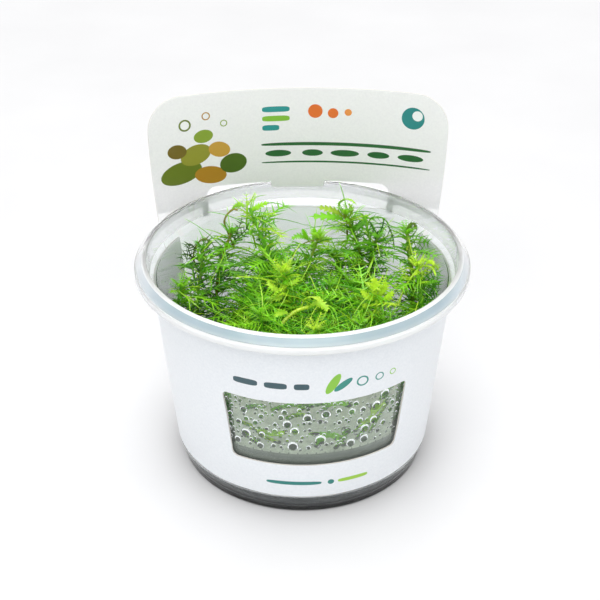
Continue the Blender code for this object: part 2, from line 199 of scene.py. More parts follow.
def mottle(tree, place, deep, pale, **grain):
    """Noise at a place, and two colours mixed by it."""
    noise = add_node(tree, "TexNoise", place, **grain)
    return noise, add_node(tree, "ValToRGB", noise, stops=((0.30, deep), (0.70, pale)))


def clear_moulded_polypropylene():
    # Injection moulded from a polished tool: water clear and glossy, with slow waves where the
    # melt flowed that bend reflections a little
    material, tree, shader = start_material(
        "clear_moulded_polypropylene", Base_Color="F6FAFA", Roughness=0.03, IOR=1.49,
        Transmission_Weight=1.0)
    place = add_node(tree, "TexCoord").outputs["Object"]
    waves = add_node(tree, "TexNoise", place, Scale=90.0, Detail=2.0, Roughness=0.4)
    feed(shader, Normal=add_node(tree, "Bump", Height=waves, Strength=0.12, Distance=0.1 * MM))
    return material


def milky_polypropylene_with_painted_light(name, front_transmission, deep, pale):
    # The thick folded rim of the same moulding, milky where the polypropylene is thick. Its whites
    # are partly that milk and partly a painted highlight on the lip bead and the skirt, and the
    # blue grey of the sloped web between them is a painted reflection of darker surroundings. The
    # light from behind goes through it, so it clears towards the rear, where the colour is painted
    # paler
    material, tree, shader = start_material(
        name, Roughness=0.12, IOR=1.49, Coat_Weight=0.5, Coat_Roughness=0.05,
        Subsurface_Weight=1.0, Subsurface_Radius=(1.0, 1.0, 1.0), Subsurface_Scale=2.0 * MM)
    place = add_node(tree, "TexCoord").outputs["Object"]
    depth = add_node(tree, "SeparateXYZ", place).outputs["Y"]
    clearing = add_node(
        tree, "MapRange", depth, From_Min=-36.0 * MM, From_Max=10.0 * MM,
        To_Min=front_transmission, To_Max=0.88)
    # Across the web the painted reflection is deepest in the middle, paler at the lip and skirt
    level = add_node(tree, "VectorMath", place, (1.0, 1.0, 0.0), operation="MULTIPLY")
    radius = add_node(tree, "VectorMath", level, operation="LENGTH")
    across = add_node(tree, "MapRange", radius, From_Min=LIP_RADIUS, From_Max=SKIRT_RADIUS)
    milk_and_painted_light = add_node(tree, "ValToRGB", across, stops=(
        (0.10, pale), (0.32, deep), (0.66, deep), (0.95, pale)))
    # Painted backlight: towards the rear the colour is painted paler, nearly white
    rear = add_node(tree, "MapRange", depth, From_Min=-30.0 * MM, From_Max=5.0 * MM)
    cloud = add_node(tree, "TexNoise", place, Scale=60.0, Detail=2.0, Roughness=0.5)
    feed(
        shader, Transmission_Weight=clearing,
        Base_Color=add_node(tree, "Mix", rear, milk_and_painted_light, "FCFDFE", data_type="RGBA"),
        Normal=add_node(tree, "Bump", Height=cloud, Strength=0.1, Distance=0.1 * MM))
    return material


def water_mist():
    # Warm damp air fogs the inside of the wall: droplets too fine to see one by one lie over it
    # as a pale veil, patchy, with a coarser grain where they have started to join
    material, tree, shader = start_material(
        "water_mist", Base_Color="F0FAE2", Roughness=0.6, IOR=1.333)
    place = add_node(tree, "TexCoord").outputs["Object"]
    patches = add_node(tree, "TexNoise", place, Scale=150.0, Detail=4.0, Roughness=0.6)
    veil = add_node(
        tree, "MapRange", patches, From_Min=0.35, From_Max=0.65, To_Min=0.54, To_Max=0.86)
    # Joined droplets lie about 0.6 mm apart
    grain = add_node(tree, "TexVoronoi", place, Scale=1600.0)
    drops = add_node(
        tree, "MapRange", grain, From_Min=0.1, From_Max=0.5, To_Min=0.10, To_Max=-0.02)
    feed(shader, Alpha=add_node(tree, "Math", veil, drops, operation="ADD"))
    return material


def condensed_water():
    # Still water beads: a smooth clear skin that turns the view behind it upside down
    return start_material(
        "condensed_water", Base_Color="FCFEFE", Roughness=0.0, IOR=1.333,
        Transmission_Weight=1.0)[0]


def bead_glint():
    # The arc of daylight that a bead gathers from above and throws back along its upper edge.
    # Clear plastic dims it in the render, so it is laid on as a white crescent that glows a little
    material, tree, shader = start_material(
        "water_bead_glint", Base_Color="FFFFFF", Roughness=0.3, IOR=1.333,
        Emission_Color="FFFFFF", Emission_Strength=0.55)
    place = add_node(tree, "TexCoord").outputs["Object"]
    ripple = add_node(tree, "TexNoise", place, Scale=1500.0, Detail=2.0)
    feed(shader, Alpha=add_node(
        tree, "MapRange", ripple, From_Min=0.25, From_Max=0.5, To_Min=0.65, To_Max=1.0))
    return material


def charcoal_agar_gel():
    # Agar with activated charcoal, poured hot and set: dark slate, moist and slightly see-through
    # near its skin, with fine charcoal grains
    material, tree, shader = start_material(
        "charcoal_agar_gel", IOR=1.34, Roughness=0.22, Coat_Weight=0.4, Coat_Roughness=0.08,
        Subsurface_Weight=0.2, Subsurface_Radius=(1.0, 1.0, 0.9), Subsurface_Scale=0.8 * MM)
    place = add_node(tree, "TexCoord").outputs["Object"]
    clouds, colour = mottle(
        tree, place, "1A2022", "2A3032", Scale=130.0, Detail=4.0, Roughness=0.6)
    height = add_node(tree, "SeparateXYZ", place).outputs["Z"]
    # The gel is paler in its upper centimetre and darker towards the bottom, and its skin, the top
    # and the meniscus at the wall, is paler still: a painted highlight
    for low, high, tint in ((6.0, 16.0, "7E887A"), (21.2, 21.8, "8E9888")):
        level = add_node(tree, "MapRange", height, From_Min=low * MM, From_Max=high * MM)
        colour = add_node(tree, "Mix", level, colour, tint, data_type="RGBA")
    # Charcoal grains of about 0.3 mm, drawn a little coarse so that they show
    grains = add_node(tree, "TexVoronoi", place, Scale=1900.0)
    speck = add_node(tree, "Math", grains, 0.13, operation="LESS_THAN")
    feed(
        shader, Base_Color=add_node(tree, "Mix", speck, colour, "2A2E30", data_type="RGBA"),
        Normal=add_node(tree, "Bump", Height=clouds, Strength=0.3, Distance=0.3 * MM))
    return material


def plant_tissue():
    # Soft underwater leaf and stem tissue with a thin moist skin: light glows through it, young
    # growth is lime and old growth a deep green, and some stems flush bronze
    material, tree, shader = start_material(
        "mermaid_weed_tissue", IOR=1.40, Roughness=0.36, Coat_Weight=0.15, Coat_Roughness=0.15,
        Subsurface_Weight=0.25, Subsurface_Radius=(0.55, 1.0, 0.25), Subsurface_Scale=0.7 * MM)
    # The growth attribute holds age, the share of the leaf's length, a random number, and bronze
    growth = add_node(tree, "Attribute", attribute_name="growth")
    parts = add_node(tree, "SeparateColor", growth).outputs
    age = add_node(tree, "ValToRGB", parts["Red"], stops=(
        (0.00, "C8F43C"), (0.30, "88DA22"), (0.65, "4AA01C"), (1.00, "28641A")))
    bronzed = add_node(
        tree, "Mix", growth.outputs["Alpha"], age, "8C7E2C", data_type="RGBA")
    # Cells and veins about 0.4 mm wide, mottled
    place = add_node(tree, "TexCoord").outputs["Object"]
    cells = add_node(tree, "TexNoise", place, Scale=900.0, Detail=3.0, Roughness=0.6)
    mottling = add_node(
        tree, "MapRange", cells, From_Min=0.3, From_Max=0.7, To_Min=0.78, To_Max=1.18)
    # A leaf is darker at its root, and its tip is fresh
    fresh = add_node(tree, "MapRange", parts["Green"], To_Min=0.72, To_Max=1.15)
    light = add_node(tree, "Math", mottling, fresh, operation="MULTIPLY")
    feed(
        shader, Base_Color=add_node(tree, "HueSaturation", Color=bronzed, Value=light),
        Normal=add_node(tree, "Bump", Height=cells, Strength=0.35, Distance=0.05 * MM))
    return material


# Printed marks, in millimetres on the sheet: form, ink, middle, half size and turn in
# degrees
FRONT_MARKS = (
    ("bar", "37565E", (-16.6, 47.4), (3.4, 1.0), 0),
    ("bar", "37565E", (-8.4, 47.4), (3.0, 1.0), 0),
    ("bar", "37565E", (-1.6, 47.4), (2.0, 1.0), 0),
    ("oval", "8CC63F", (6.6, 47.9), (3.6, 1.25), 62),
    ("oval", "2F8F83", (9.3, 47.2), (3.0, 1.0), 38),
    ("ring", "2F8F83", (14.6, 47.3), (1.7, 1.7), 0),
    ("ring", "2F8F83", (19.6, 47.3), (1.3, 1.3), 0),
    ("ring", "8CC63F", (23.8, 47.3), (1.0, 1.0), 0),
    ("bar", "1F7F78", (-3.6, 12.2), (7.6, 0.65), 0),
    ("oval", "1F7F78", (6.6, 12.2), (0.9, 0.9), 0),
    ("bar", "9CCB3C", (13.0, 12.2), (4.4, 0.65), 0),
)
HEADER_MARKS = (
    ("oval", "6F7F2A", (-36.4, 132.2), (6.6, 3.6), 12),
    ("oval", "B98A2E", (-27.2, 130.4), (5.0, 2.9), -8),
    ("oval", "55702A", (-20.0, 133.6), (4.2, 3.2), 10),
    ("oval", "9A9A3A", (-31.6, 137.6), (4.9, 3.2), 18),
    ("oval", "D0A448", (-24.2, 138.6), (3.4, 2.5), -14),
    ("oval", "7C6A2C", (-37.4, 139.4), (3.0, 2.3), -6),
    ("oval", "8FA83C", (-29.0, 143.4), (3.0, 2.1), 8),
    ("ring", "6F7F2A", (-34.6, 147.6), (1.9, 1.9), 0),
    ("ring", "B98A2E", (-28.0, 149.8), (1.3, 1.3), 0),
    ("ring", "8FA83C", (-22.6, 147.0), (1.1, 1.1), 0),
    ("bar", "2C9C9A", (-6.6, 150.4), (4.2, 0.9), 0),
    ("bar", "8CC63F", (-6.6, 147.4), (4.2, 0.9), 0),
    ("bar", "2C9C9A", (-8.2, 144.4), (2.6, 0.9), 0),
    ("oval", "E8792B", (5.4, 149.6), (2.2, 2.2), 0),
    ("oval", "E8792B", (10.8, 149.0), (1.6, 1.6), 0),
    ("oval", "F0A050", (15.4, 149.4), (1.1, 1.1), 0),
    ("oval", "2C8F8D", (35.2, 149.0), (3.5, 3.5), 0),
    ("oval", "F4F8F6", (36.5, 149.9), (1.6, 1.6), 0),
    ("bar", "2E6B3C", (15.0, 138.9), (26.2, 0.55), 0),
    ("bar", "2E6B3C", (15.0, 132.9), (26.2, 0.3), 0),
    ("oval", "2E6B3C", (-6.0, 135.9), (4.0, 1.1), 0),
    ("oval", "2E6B3C", (4.6, 135.9), (3.2, 1.1), 0),
    ("oval", "2E6B3C", (14.6, 135.9), (4.4, 1.1), 0),
    ("oval", "2E6B3C", (25.0, 135.9), (3.4, 1.1), 0),
    ("oval", "2E6B3C", (35.0, 135.9), (4.0, 1.1), 0),
)


def clay_coated_carton(name, deep, pale, marks):
    # Bright folding boxboard, clay coated and litho printed under a thin water varnish: smooth
    # and white with a soft sheen, a faint fibre mottle, and inks a little glossier than the card
    material, tree, shader = start_material(
        name, IOR=1.5, Coat_Weight=0.12, Coat_Roughness=0.3,
        Subsurface_Weight=0.5, Subsurface_Radius=(1.0, 1.0, 1.0), Subsurface_Scale=0.3 * MM)
    places = add_node(tree, "TexCoord").outputs
    # Fibre clumps about 0.6 mm across show through the clay
    fibres, colour = mottle(
        tree, places["Object"], deep, pale, Scale=1500.0, Detail=4.0, Roughness=0.65)
    # The UV map is the flat sheet: back to millimetres, with the middle of the front at zero
    sheet = add_node(
        tree, "VectorMath", places["UV"], (SHEET / MM, SHEET / MM, 0.0),
        (-SHEET / MM / 2, 0.0, 0.0), operation="MULTIPLY_ADD")
    inked = None
    for form, ink, middle, half, turn in marks:
        local = add_node(
            tree, "Mapping", sheet, vector_type="TEXTURE", Location=(*middle, 0.0),
            Rotation=(0.0, 0.0, math.radians(turn)), Scale=(*half, 1.0))
        # Squares give an oval or a ring, and fourth powers a bar with soft ends
        for _ in range(2 if form == "bar" else 1):
            local = add_node(tree, "VectorMath", local, local, operation="MULTIPLY")
        reach = add_node(tree, "VectorMath", local, (1.0, 1.0, 0.0), operation="DOT_PRODUCT")
        if form == "ring":
            mask = add_node(tree, "Math", reach, 0.76, 0.24, operation="COMPARE")
        else:
            mask = add_node(tree, "Math", reach, 1.0, operation="LESS_THAN")
        colour = add_node(tree, "Mix", mask, colour, ink, data_type="RGBA")
        inked = mask if inked is None else add_node(
            tree, "Math", inked, mask, operation="MAXIMUM")
    feed(
        shader, Base_Color=colour,
        Roughness=add_node(tree, "MapRange", inked, To_Min=0.42, To_Max=0.28),
        Normal=add_node(tree, "Bump", Height=fibres, Strength=0.08, Distance=0.03 * MM))
    return material


def uncoated_carton():
    # The inner side of the board: bleached pulp with no clay, matt and a little greyer
    material, tree, shader = start_material(
        "uncoated_carton", IOR=1.5, Roughness=0.8,
        Subsurface_Weight=1.0, Subsurface_Radius=(1.0, 1.0, 1.0), Subsurface_Scale=2.0 * MM)
    place = add_node(tree, "TexCoord").outputs["Object"]
    fibres, pulp = mottle(
        tree, place, "F2F3F1", "FAFAF9", Scale=1100.0, Detail=5.0, Roughness=0.7)
    feed(
        shader, Base_Color=pulp,
        Normal=add_node(tree, "Bump", Height=fibres, Strength=0.3, Distance=0.05 * MM))
    return material


def cut_carton_edge():
    # The die-cut edge: torn fibres between two white skins, matt, warm grey
    material, tree, shader = start_material("cut_carton_edge", IOR=1.5, Roughness=0.9)
    place = add_node(tree, "TexCoord").outputs["Object"]
    _, pulp = mottle(tree, place, "CFCCC4", "EAE8E2", Scale=2600.0, Detail=4.0, Roughness=0.7)
    feed(shader, Base_Color=pulp)
    return material


def studio_paper():
    # A wide sheet of matt white background paper, faintly uneven
    material, tree, shader = start_material("studio_paper", Roughness=0.9)
    place = add_node(tree, "TexCoord").outputs["Object"]
    _, paper = mottle(tree, place, "DBDBDC", "DFDFE0", Scale=14.0, Detail=3.0)
    feed(shader, Base_Color=paper)
    return material


# Modelling by hand: helpers that add, select, draw out and finish

def only(piece=None):
    """Deselect all, then select one piece and work on it."""
    bpy.ops.object.select_all(action="DESELECT")
    if piece:
        piece.select_set(True)
        bpy.context.view_layer.objects.active = piece


def add_primitive(name, kind, **settings):
    only()
    getattr(bpy.ops.mesh, f"primitive_{kind}_add")(**settings)
    piece = bpy.context.object
    piece.name = name
    return piece


def lying_rod(name, sides, radius, length):
    """A thin cylinder along +Y from the origin, open for editing."""
    rod = add_primitive(
        name, "cylinder", vertices=sides, radius=radius, depth=length,
        location=(0, length / 2, 0), rotation=(math.radians(90), 0, 0))
    bpy.ops.object.transform_apply(location=True, rotation=True, scale=True)
    open_for_editing(rod)
    return rod


def open_for_editing(piece):
    """Open one piece in edit mode with nothing selected in it."""
    only(piece)
    bpy.ops.object.mode_set(mode="EDIT")
    bpy.ops.mesh.select_mode(type="FACE")
    bpy.ops.mesh.select_all(action="DESELECT")


def pick_faces(piece, wanted):
    """In edit mode, select just the faces whose middle and normal are wanted."""
    shape = bmesh.from_edit_mesh(piece.data)
    for face in shape.faces:
        face.select_set(False)
    for face in shape.faces:
        if wanted(face.calc_center_median(), face.normal):
            face.select_set(True)
    bmesh.update_edit_mesh(piece.data)


def extrude(*step):
    bpy.ops.mesh.extrude_region_move(TRANSFORM_OT_translate={"value": step})


def draw_on(piece, step):
    """Extrude the end face that lies farthest along +Y, on the middle line, by a step."""
    shape = bmesh.from_edit_mesh(piece.data)

    def is_end(middle, normal):
        return normal.y > 0.9 and abs(middle.x) < 0.15 * MM

    reach = max(face.calc_center_median().y for face in shape.faces
                if is_end(face.calc_center_median(), face.normal))
    pick_faces(piece, lambda middle, normal: (
        is_end(middle, normal) and middle.y > reach - 0.01 * MM))
    extrude(0, step, 0)


def close_editing():
    bpy.ops.mesh.select_all(action="SELECT")
    bpy.ops.mesh.normals_make_consistent(inside=False)
    bpy.ops.mesh.select_all(action="DESELECT")
    bpy.ops.object.mode_set(mode="OBJECT")


def close_to_point():
    bpy.ops.mesh.merge(type="CENTER")
    close_editing()


def apply_modifier(piece, kind, **settings):
    """Add a modifier with its settings and apply it at once."""
    only(piece)
    modifier = piece.modifiers.new(kind.lower(), kind)
    for name, value in settings.items():
        setattr(modifier, name, value)
    bpy.ops.object.modifier_apply(modifier=modifier.name)


def cut_by(piece, cutter):
    apply_modifier(piece, "BOOLEAN", operation="DIFFERENCE", solver="EXACT", object=cutter)
    bpy.data.objects.remove(cutter)


def smooth_by_angle(piece, degrees):
    only(piece)
    bpy.ops.object.shade_smooth_by_angle(angle=math.radians(degrees))


def join_pieces(pieces, name):
    only()
    for piece in pieces:
        piece.select_set(True)
    bpy.context.view_layer.objects.active = pieces[0]
    bpy.ops.object.join()
    joined = bpy.context.object
    joined.name = name
    joined.data.name = name
    return joined


def give_finishes(piece, *finishes):
    piece.data.materials.clear()
    for finish in finishes:
        piece.data.materials.append(finish)


def linked_copy(name, mesh):
    copy = bpy.data.objects.new(name, mesh)
    bpy.context.scene.collection.objects.link(copy)
    return copy


def read_points(mesh):
    points = np.empty(len(mesh.vertices) * 3)
    mesh.vertices.foreach_get("co", points)
    return points.reshape(-1, 3)


def turned_piece(name, outline, segments, close_last):
    """Draw a ring up along a (radius, height) outline, ring by ring, and close both ends."""
    radius, height = outline[0]
    piece = add_primitive(
        name, "circle", vertices=segments, radius=radius, location=(0, 0, 0),
        fill_type="NOTHING")
    bpy.ops.object.mode_set(mode="EDIT")
    bpy.ops.mesh.select_mode(type="EDGE")
    bpy.ops.mesh.select_all(action="SELECT")
    bpy.ops.transform.translate(value=(0, 0, height))
    for next_radius, next_height in outline[1:]:
        bpy.ops.mesh.extrude_edges_move(
            TRANSFORM_OT_translate={"value": (0, 0, next_height - height)})
        grow = next_radius / radius
        bpy.ops.transform.resize(value=(grow, grow, 1.0))
        radius, height = next_radius, next_height
    if close_last == "flat":
        bpy.ops.mesh.edge_face_add()
    else:
        bpy.ops.mesh.merge(type="CENTER")
    bpy.ops.mesh.select_all(action="DESELECT")
    bpy.ops.mesh.select_mode(type="VERT")
    bpy.ops.mesh.select_non_manifold()
    bpy.ops.mesh.edge_face_add()
    close_editing()
    return piece


# Cup

def wall_radius(z):
    """Outer radius of the cup's tapered wall at a height."""
    rise = (z - WALL_FOOT_Z) / (NECK_Z - WALL_FOOT_Z)
    return WALL_FOOT_RADIUS + (NECK_RADIUS - WALL_FOOT_RADIUS) * rise


def inner_wall(z):
    return wall_radius(min(z, NECK_Z)) - CUP_WALL


def wall_point(angle, z, depth):
    """A point at a depth inside the inner wall, its angle counted from the front."""
    radius = inner_wall(z) - depth
    return radius * math.sin(angle), -radius * math.cos(angle), z


def cup_outline():
    """The shell's section: up the outside, over the stepped rim and down to the floor."""
    return [
        (FOOT_RADIUS - 0.6 * MM, 0.0),
        (FOOT_RADIUS, 0.6 * MM),
        (FOOT_RADIUS + 0.5 * MM, 5.4 * MM),
        (STOP_BEAD_RADIUS, 5.8 * MM),
        (STOP_BEAD_RADIUS, 6.5 * MM),
        (WALL_FOOT_RADIUS, WALL_FOOT_Z),
        (NECK_RADIUS, NECK_Z),
        (LIP_RADIUS - 0.1 * MM, 59.6 * MM),
        (LIP_RADIUS + 0.65 * MM, CUP_HEIGHT - 0.95 * MM),
        (SKIRT_RADIUS - SKIRT_WALL, 62.5 * MM),
        (SKIRT_RADIUS - SKIRT_WALL, SKIRT_BOTTOM_Z),
        (SKIRT_RADIUS, SKIRT_BOTTOM_Z),
        (SKIRT_RADIUS, SKIRT_TOP_Z),
        (SKIRT_RADIUS - 0.45 * MM, SKIRT_TOP_Z + 0.3 * MM),
        (SKIRT_RADIUS - 0.45 * MM, SKIRT_TOP_Z + 0.7 * MM),
        (LIP_RADIUS + 1.3 * MM, CUP_HEIGHT - 0.3 * MM),
        (LIP_RADIUS + 0.7 * MM, CUP_HEIGHT),
        (LIP_RADIUS + 0.2 * MM, CUP_HEIGHT - 0.05 * MM),
        (LIP_RADIUS, CUP_HEIGHT - 0.4 * MM),
        (LIP_RADIUS - 0.7 * MM, 60.0 * MM),
        (NECK_RADIUS - CUP_WALL, 58.65 * MM),
        (WALL_FOOT_RADIUS - CUP_WALL, WALL_FOOT_Z),
        (FOOT_RADIUS, 2.2 * MM),
        (FOOT_RADIUS - 0.9 * MM, 1.2 * MM),
    ]


def make_cup(clear, bead, web):
    cup = turned_piece("moulded_cup", cup_outline(), CUP_SEGMENTS, "flat")
    apply_modifier(
        cup, "BEVEL", width=0.16 * MM, segments=3, limit_method="ANGLE",
        angle_limit=math.radians(16), use_clamp_overlap=True)
    smooth_by_angle(cup, 40)
    give_finishes(cup, clear, bead, web)
    # The folded rim is milky: the lip bead and the skirt most, with their painted highlight, and
    # the web between them less, with its painted reflection
    for face in cup.data.polygons:
        z = face.center.z
        radius = face.center.xy.length
        if z < 59.0 * MM or radius < LIP_RADIUS - 0.2 * MM:
            continue
        thick = z > CUP_HEIGHT - 0.6 * MM or (
            radius > SKIRT_RADIUS - 0.6 * MM and z < SKIRT_TOP_Z + 0.5 * MM)
        face.material_index = 1 if thick else 2
    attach(cup, "root")
    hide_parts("cup")


# Card sleeve

def smooth_step(low, high, value):
    t = min(max((value - low) / (high - low), 0.0), 1.0)
    return t * t * (3.0 - 2.0 * t)


def header_half_width(z):
    """Half the header's width along its curve: it widens upwards and its top corners are round."""
    width = HEADER_LOW_HALF_WIDTH
    width += HEADER_WIDENING * smooth_step(HEADER_FREE_Z, HEADER_WIDEST_Z, z)
    corner_start = HEADER_TOP_Z - HEADER_CORNER
    if z > corner_start:
        rise = min(z - corner_start, HEADER_CORNER)
        width -= HEADER_CORNER - math.sqrt(HEADER_CORNER ** 2 - rise ** 2)
    return width


def wrap_point(angle, z):
    """A point of the wrap's mid-thickness, its angle counted from the header's middle."""
    radius = wall_radius(z) + CARD_GAP + CARD_THICKNESS / 2
    return Vector((radius * math.sin(angle), radius * math.cos(angle), z))


def panel_point(angle, z):
    """A point of the panel that leaves the wrap low down and flattens into the header."""
    along = angle / HEADER_HALF_ANGLE * header_half_width(z)
    bend = along / HEADER_CURVE_RADIUS
    centre_y = HEADER_CENTRE_Y - HEADER_CURVE_RADIUS
    flat_x = HEADER_CURVE_RADIUS * math.sin(bend)
    flat = Vector((flat_x, centre_y + HEADER_CURVE_RADIUS * math.cos(bend), z))
    wrapped = wrap_point(angle, min(z, CARD_WRAP_TOP_Z))
    wrapped.z = z
    return wrapped.lerp(flat, smooth_step(HEADER_FREE_Z, HEADER_FLAT_Z, z))


def wrap_on_sheet(angle, z):
    return ((math.pi - angle) * wall_radius(z) + SHEET / 2) / SHEET, z / SHEET


def panel_on_sheet(angle, z):
    along = angle / HEADER_HALF_ANGLE * header_half_width(z)
    return (along + SHEET / 2) / SHEET, (z + HEADER_SHIFT) / SHEET


def spread(first, last, steps):
    return [first + (last - first) * i / steps for i in range(steps + 1)]


def grid_piece(name, angles, heights):
    """A flat grid, and the angle and height that each of its points stands for."""
    columns, rows = len(angles) - 1, len(heights) - 1
    piece = add_primitive(name, "grid", x_subdivisions=columns, y_subdivisions=rows, size=2.0)
    cells = [
        (angles[round((vertex.co.x + 1) / 2 * columns)],
         heights[round((vertex.co.y + 1) / 2 * rows)]) for vertex in piece.data.vertices]
    return piece, cells


def card_patch(angles, heights, place, on_sheet):
    """A patch of card bent into place, its UV map the printed sheet in real size."""
    patch, cells = grid_piece("card_patch", angles, heights)
    for vertex, cell in zip(patch.data.vertices, cells):
        vertex.co = place(*cell)
    for loop, corner in zip(patch.data.loops, patch.data.uv_layers[0].data):
        corner.uv = on_sheet(*cells[loop.vertex_index])
    return patch


def block(name, low, high):
    """A box between two corners."""
    low, high = Vector(low), Vector(high)
    box = add_primitive(name, "cube", size=1.0, location=(low + high) / 2)
    box.scale = high - low
    bpy.ops.object.transform_apply(location=True, rotation=False, scale=True)
    return box


def round_edges_along_y(piece, radius):
    """Bevel the four edges of a box that run from front to back."""
    bpy.context.view_layer.objects.active = piece
    bpy.ops.object.mode_set(mode="EDIT")
    bpy.ops.mesh.select_mode(type="EDGE")
    shape = bmesh.from_edit_mesh(piece.data)
    for edge in shape.edges:
        run = edge.verts[1].co - edge.verts[0].co
        edge.select_set(abs(run.y) > 0.5 * run.length)
    bmesh.update_edit_mesh(piece.data)
    bpy.ops.mesh.bevel(offset=radius, segments=8, affect="EDGES")
    bpy.ops.object.mode_set(mode="OBJECT")


def window_cutter():
    """A wedge through the front of the wrap, its sides along the cup's radii."""
    cutter = block(
        "window_cutter", (-0.5, -62 * MM, WINDOW_BOTTOM_Z), (0.5, -20 * MM, WINDOW_TOP_Z))
    for vertex in cutter.data.vertices:
        high = vertex.co.z > (WINDOW_BOTTOM_Z + WINDOW_TOP_Z) / 2
        half_angle = WINDOW_HALF_ANGLE_TOP if high else WINDOW_HALF_ANGLE_BOTTOM
        vertex.co.x = math.copysign(-vertex.co.y * math.tan(half_angle), vertex.co.x)
    round_edges_along_y(cutter, WINDOW_CORNER)
    cutter.rotation_euler = (0, 0, WINDOW_TURN)
    bpy.ops.object.transform_apply(location=False, rotation=True, scale=False)
    return cutter


def slot_cutter():
    """A round-cornered bar through the header, less the tab that hangs into it."""
    cutter = block(
        "slot_cutter", (-SLOT_HALF_WIDTH, 25 * MM, SLOT_BOTTOM_Z),
        (SLOT_HALF_WIDTH, 60 * MM, SLOT_TOP_Z))
    round_edges_along_y(cutter, SLOT_CORNER)
    tab = block(
        "tab_block", (-TAB_HALF_WIDTH, 20 * MM, SLOT_TOP_Z - TAB_DROP),
        (TAB_HALF_WIDTH, 65 * MM, SLOT_TOP_Z + 4 * MM))
    round_edges_along_y(tab, TAB_CORNER)
    cut_by(cutter, tab)
    return cutter


def make_sleeve(front_print, header_print, back, edge):
    wrap_start = HEADER_HALF_ANGLE + SLIT_ANGLE
    panel_angles = spread(HEADER_HALF_ANGLE, -HEADER_HALF_ANGLE, 44)
    wrap_angles = spread(math.tau - wrap_start, wrap_start, 110)
    slit_right = [wrap_start, HEADER_HALF_ANGLE]
    slit_left = [math.tau - HEADER_HALF_ANGLE, math.tau - wrap_start]
    low_rows = spread(CARD_BOTTOM_Z, HEADER_FREE_Z, 4)
    wrap_rows = spread(HEADER_FREE_Z, CARD_WRAP_TOP_Z, 10)
    corner_start = HEADER_TOP_Z - HEADER_CORNER
    panel_rows = spread(HEADER_FREE_Z, HEADER_FLAT_Z, 12)
    panel_rows += spread(HEADER_FLAT_Z, corner_start, 8)[1:]
    panel_rows += [
        corner_start + HEADER_CORNER * math.sin(math.radians(turn)) for turn in range(8, 89, 8)]
    panel_rows.append(HEADER_TOP_Z)
    sleeve = join_pieces([card_patch(*patch) for patch in (
        (panel_angles, low_rows, wrap_point, panel_on_sheet),
        (panel_angles, panel_rows, panel_point, panel_on_sheet),
        (wrap_angles, low_rows, wrap_point, wrap_on_sheet),
        (wrap_angles, wrap_rows, wrap_point, wrap_on_sheet),
        (slit_right, low_rows, wrap_point, wrap_on_sheet),
        (slit_left, low_rows, wrap_point, wrap_on_sheet),
    )], "printed_sleeve")
    bpy.ops.object.mode_set(mode="EDIT")
    bpy.ops.mesh.select_all(action="SELECT")
    bpy.ops.mesh.remove_doubles(threshold=0.02 * MM)
    bpy.ops.object.mode_set(mode="OBJECT")
    apply_modifier(
        sleeve, "SOLIDIFY", thickness=CARD_THICKNESS, offset=0.0, use_even_offset=True)
    cut_by(sleeve, window_cutter())
    cut_by(sleeve, slot_cutter())
    smooth_by_angle(sleeve, 30)
    give_finishes(sleeve, front_print, header_print, back, edge)
    flat_centre = Vector((0, HEADER_CENTRE_Y - HEADER_CURVE_RADIUS, 0))
    for face in sleeve.data.polygons:
        place = Vector((face.center.x, face.center.y, 0))
        above_wrap = face.center.z > CARD_WRAP_TOP_Z
        turn = abs(math.atan2(place.x, place.y))
        on_panel = above_wrap or turn < HEADER_HALF_ANGLE + SLIT_ANGLE / 2
        if on_panel and face.center.z > 40 * MM:
            place -= flat_centre
        outward = face.normal.dot(place.normalized())
        if outward > 0.6:
            face.material_index = 0
        elif outward < -0.6:
            face.material_index = 1 if above_wrap else 2
        else:
            face.material_index = 3
    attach(sleeve, "root")
    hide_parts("sleeve")


# Gel

def make_gel(finish):
    """The poured bed, drawn up at the wall, its top a little uneven."""
    def reach(z):
        return wall_radius(z) - CUP_WALL - 0.03 * MM

    edge_top = GEL_TOP_Z + GEL_RISE
    edge_reach = reach(edge_top)
    outline = [
        (FOOT_RADIUS - 1.25 * MM, 1.23 * MM),
        (FOOT_RADIUS - 0.25 * MM, 2.3 * MM),
        (reach(WALL_FOOT_Z), WALL_FOOT_Z),
        (reach(14 * MM), 14 * MM),
        (edge_reach, edge_top),
        (edge_reach - 0.25 * MM, edge_top - 0.35 * MM),
        (edge_reach - 0.8 * MM, GEL_TOP_Z + 0.28 * MM),
        (edge_reach - 1.6 * MM, GEL_TOP_Z + 0.08 * MM),
        (edge_reach - 3.0 * MM, GEL_TOP_Z),
    ]
    outline += [(radius * MM, GEL_TOP_Z) for radius in (32, 28, 24, 20, 16, 12, 8, 4, 1.5)]
    gel = turned_piece("charcoal_gel", outline, 96, "pole")
    rng = random.Random(SEED)
    waves = [(rng.uniform(120, 420), rng.uniform(0, math.tau), rng.uniform(0, math.tau))
             for _ in range(6)]
    for vertex in gel.data.vertices:
        x, y, z = vertex.co
        if z > GEL_TOP_Z - 0.01 * MM and vertex.co.xy.length < 33 * MM:
            lift = sum(
                math.sin(rate * (x * math.cos(turn) + y * math.sin(turn)) + phase)
                for rate, turn, phase in waves)
            vertex.co.z += 0.045 * MM * lift - 0.1 * MM
    smooth_by_angle(gel, 50)
    give_finishes(gel, finish)
    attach(gel, "root")
    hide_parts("gel")


# Leaf and stem patterns: each is modelled once, lying along +Y in real size

def stem_pattern():
    """A straight stem 1 mm in radius, a little swollen where leaves come off, and pointed."""
    stem = lying_rod("stem_pattern", 8, 1.0 * MM, 1.0 * MM)
    girth = 1.0
    for ring, wanted in enumerate((1.16, 1.0, 0.96, 0.9) * 6 + (1.16, 1.0, 0.7, 0.3)):
        draw_on(stem, 1.0 * MM if ring < 26 else 0.6 * MM)
        bpy.ops.transform.resize(value=(wanted / girth, 1.0, wanted / girth))
        girth = wanted
    close_editing()
    return stem


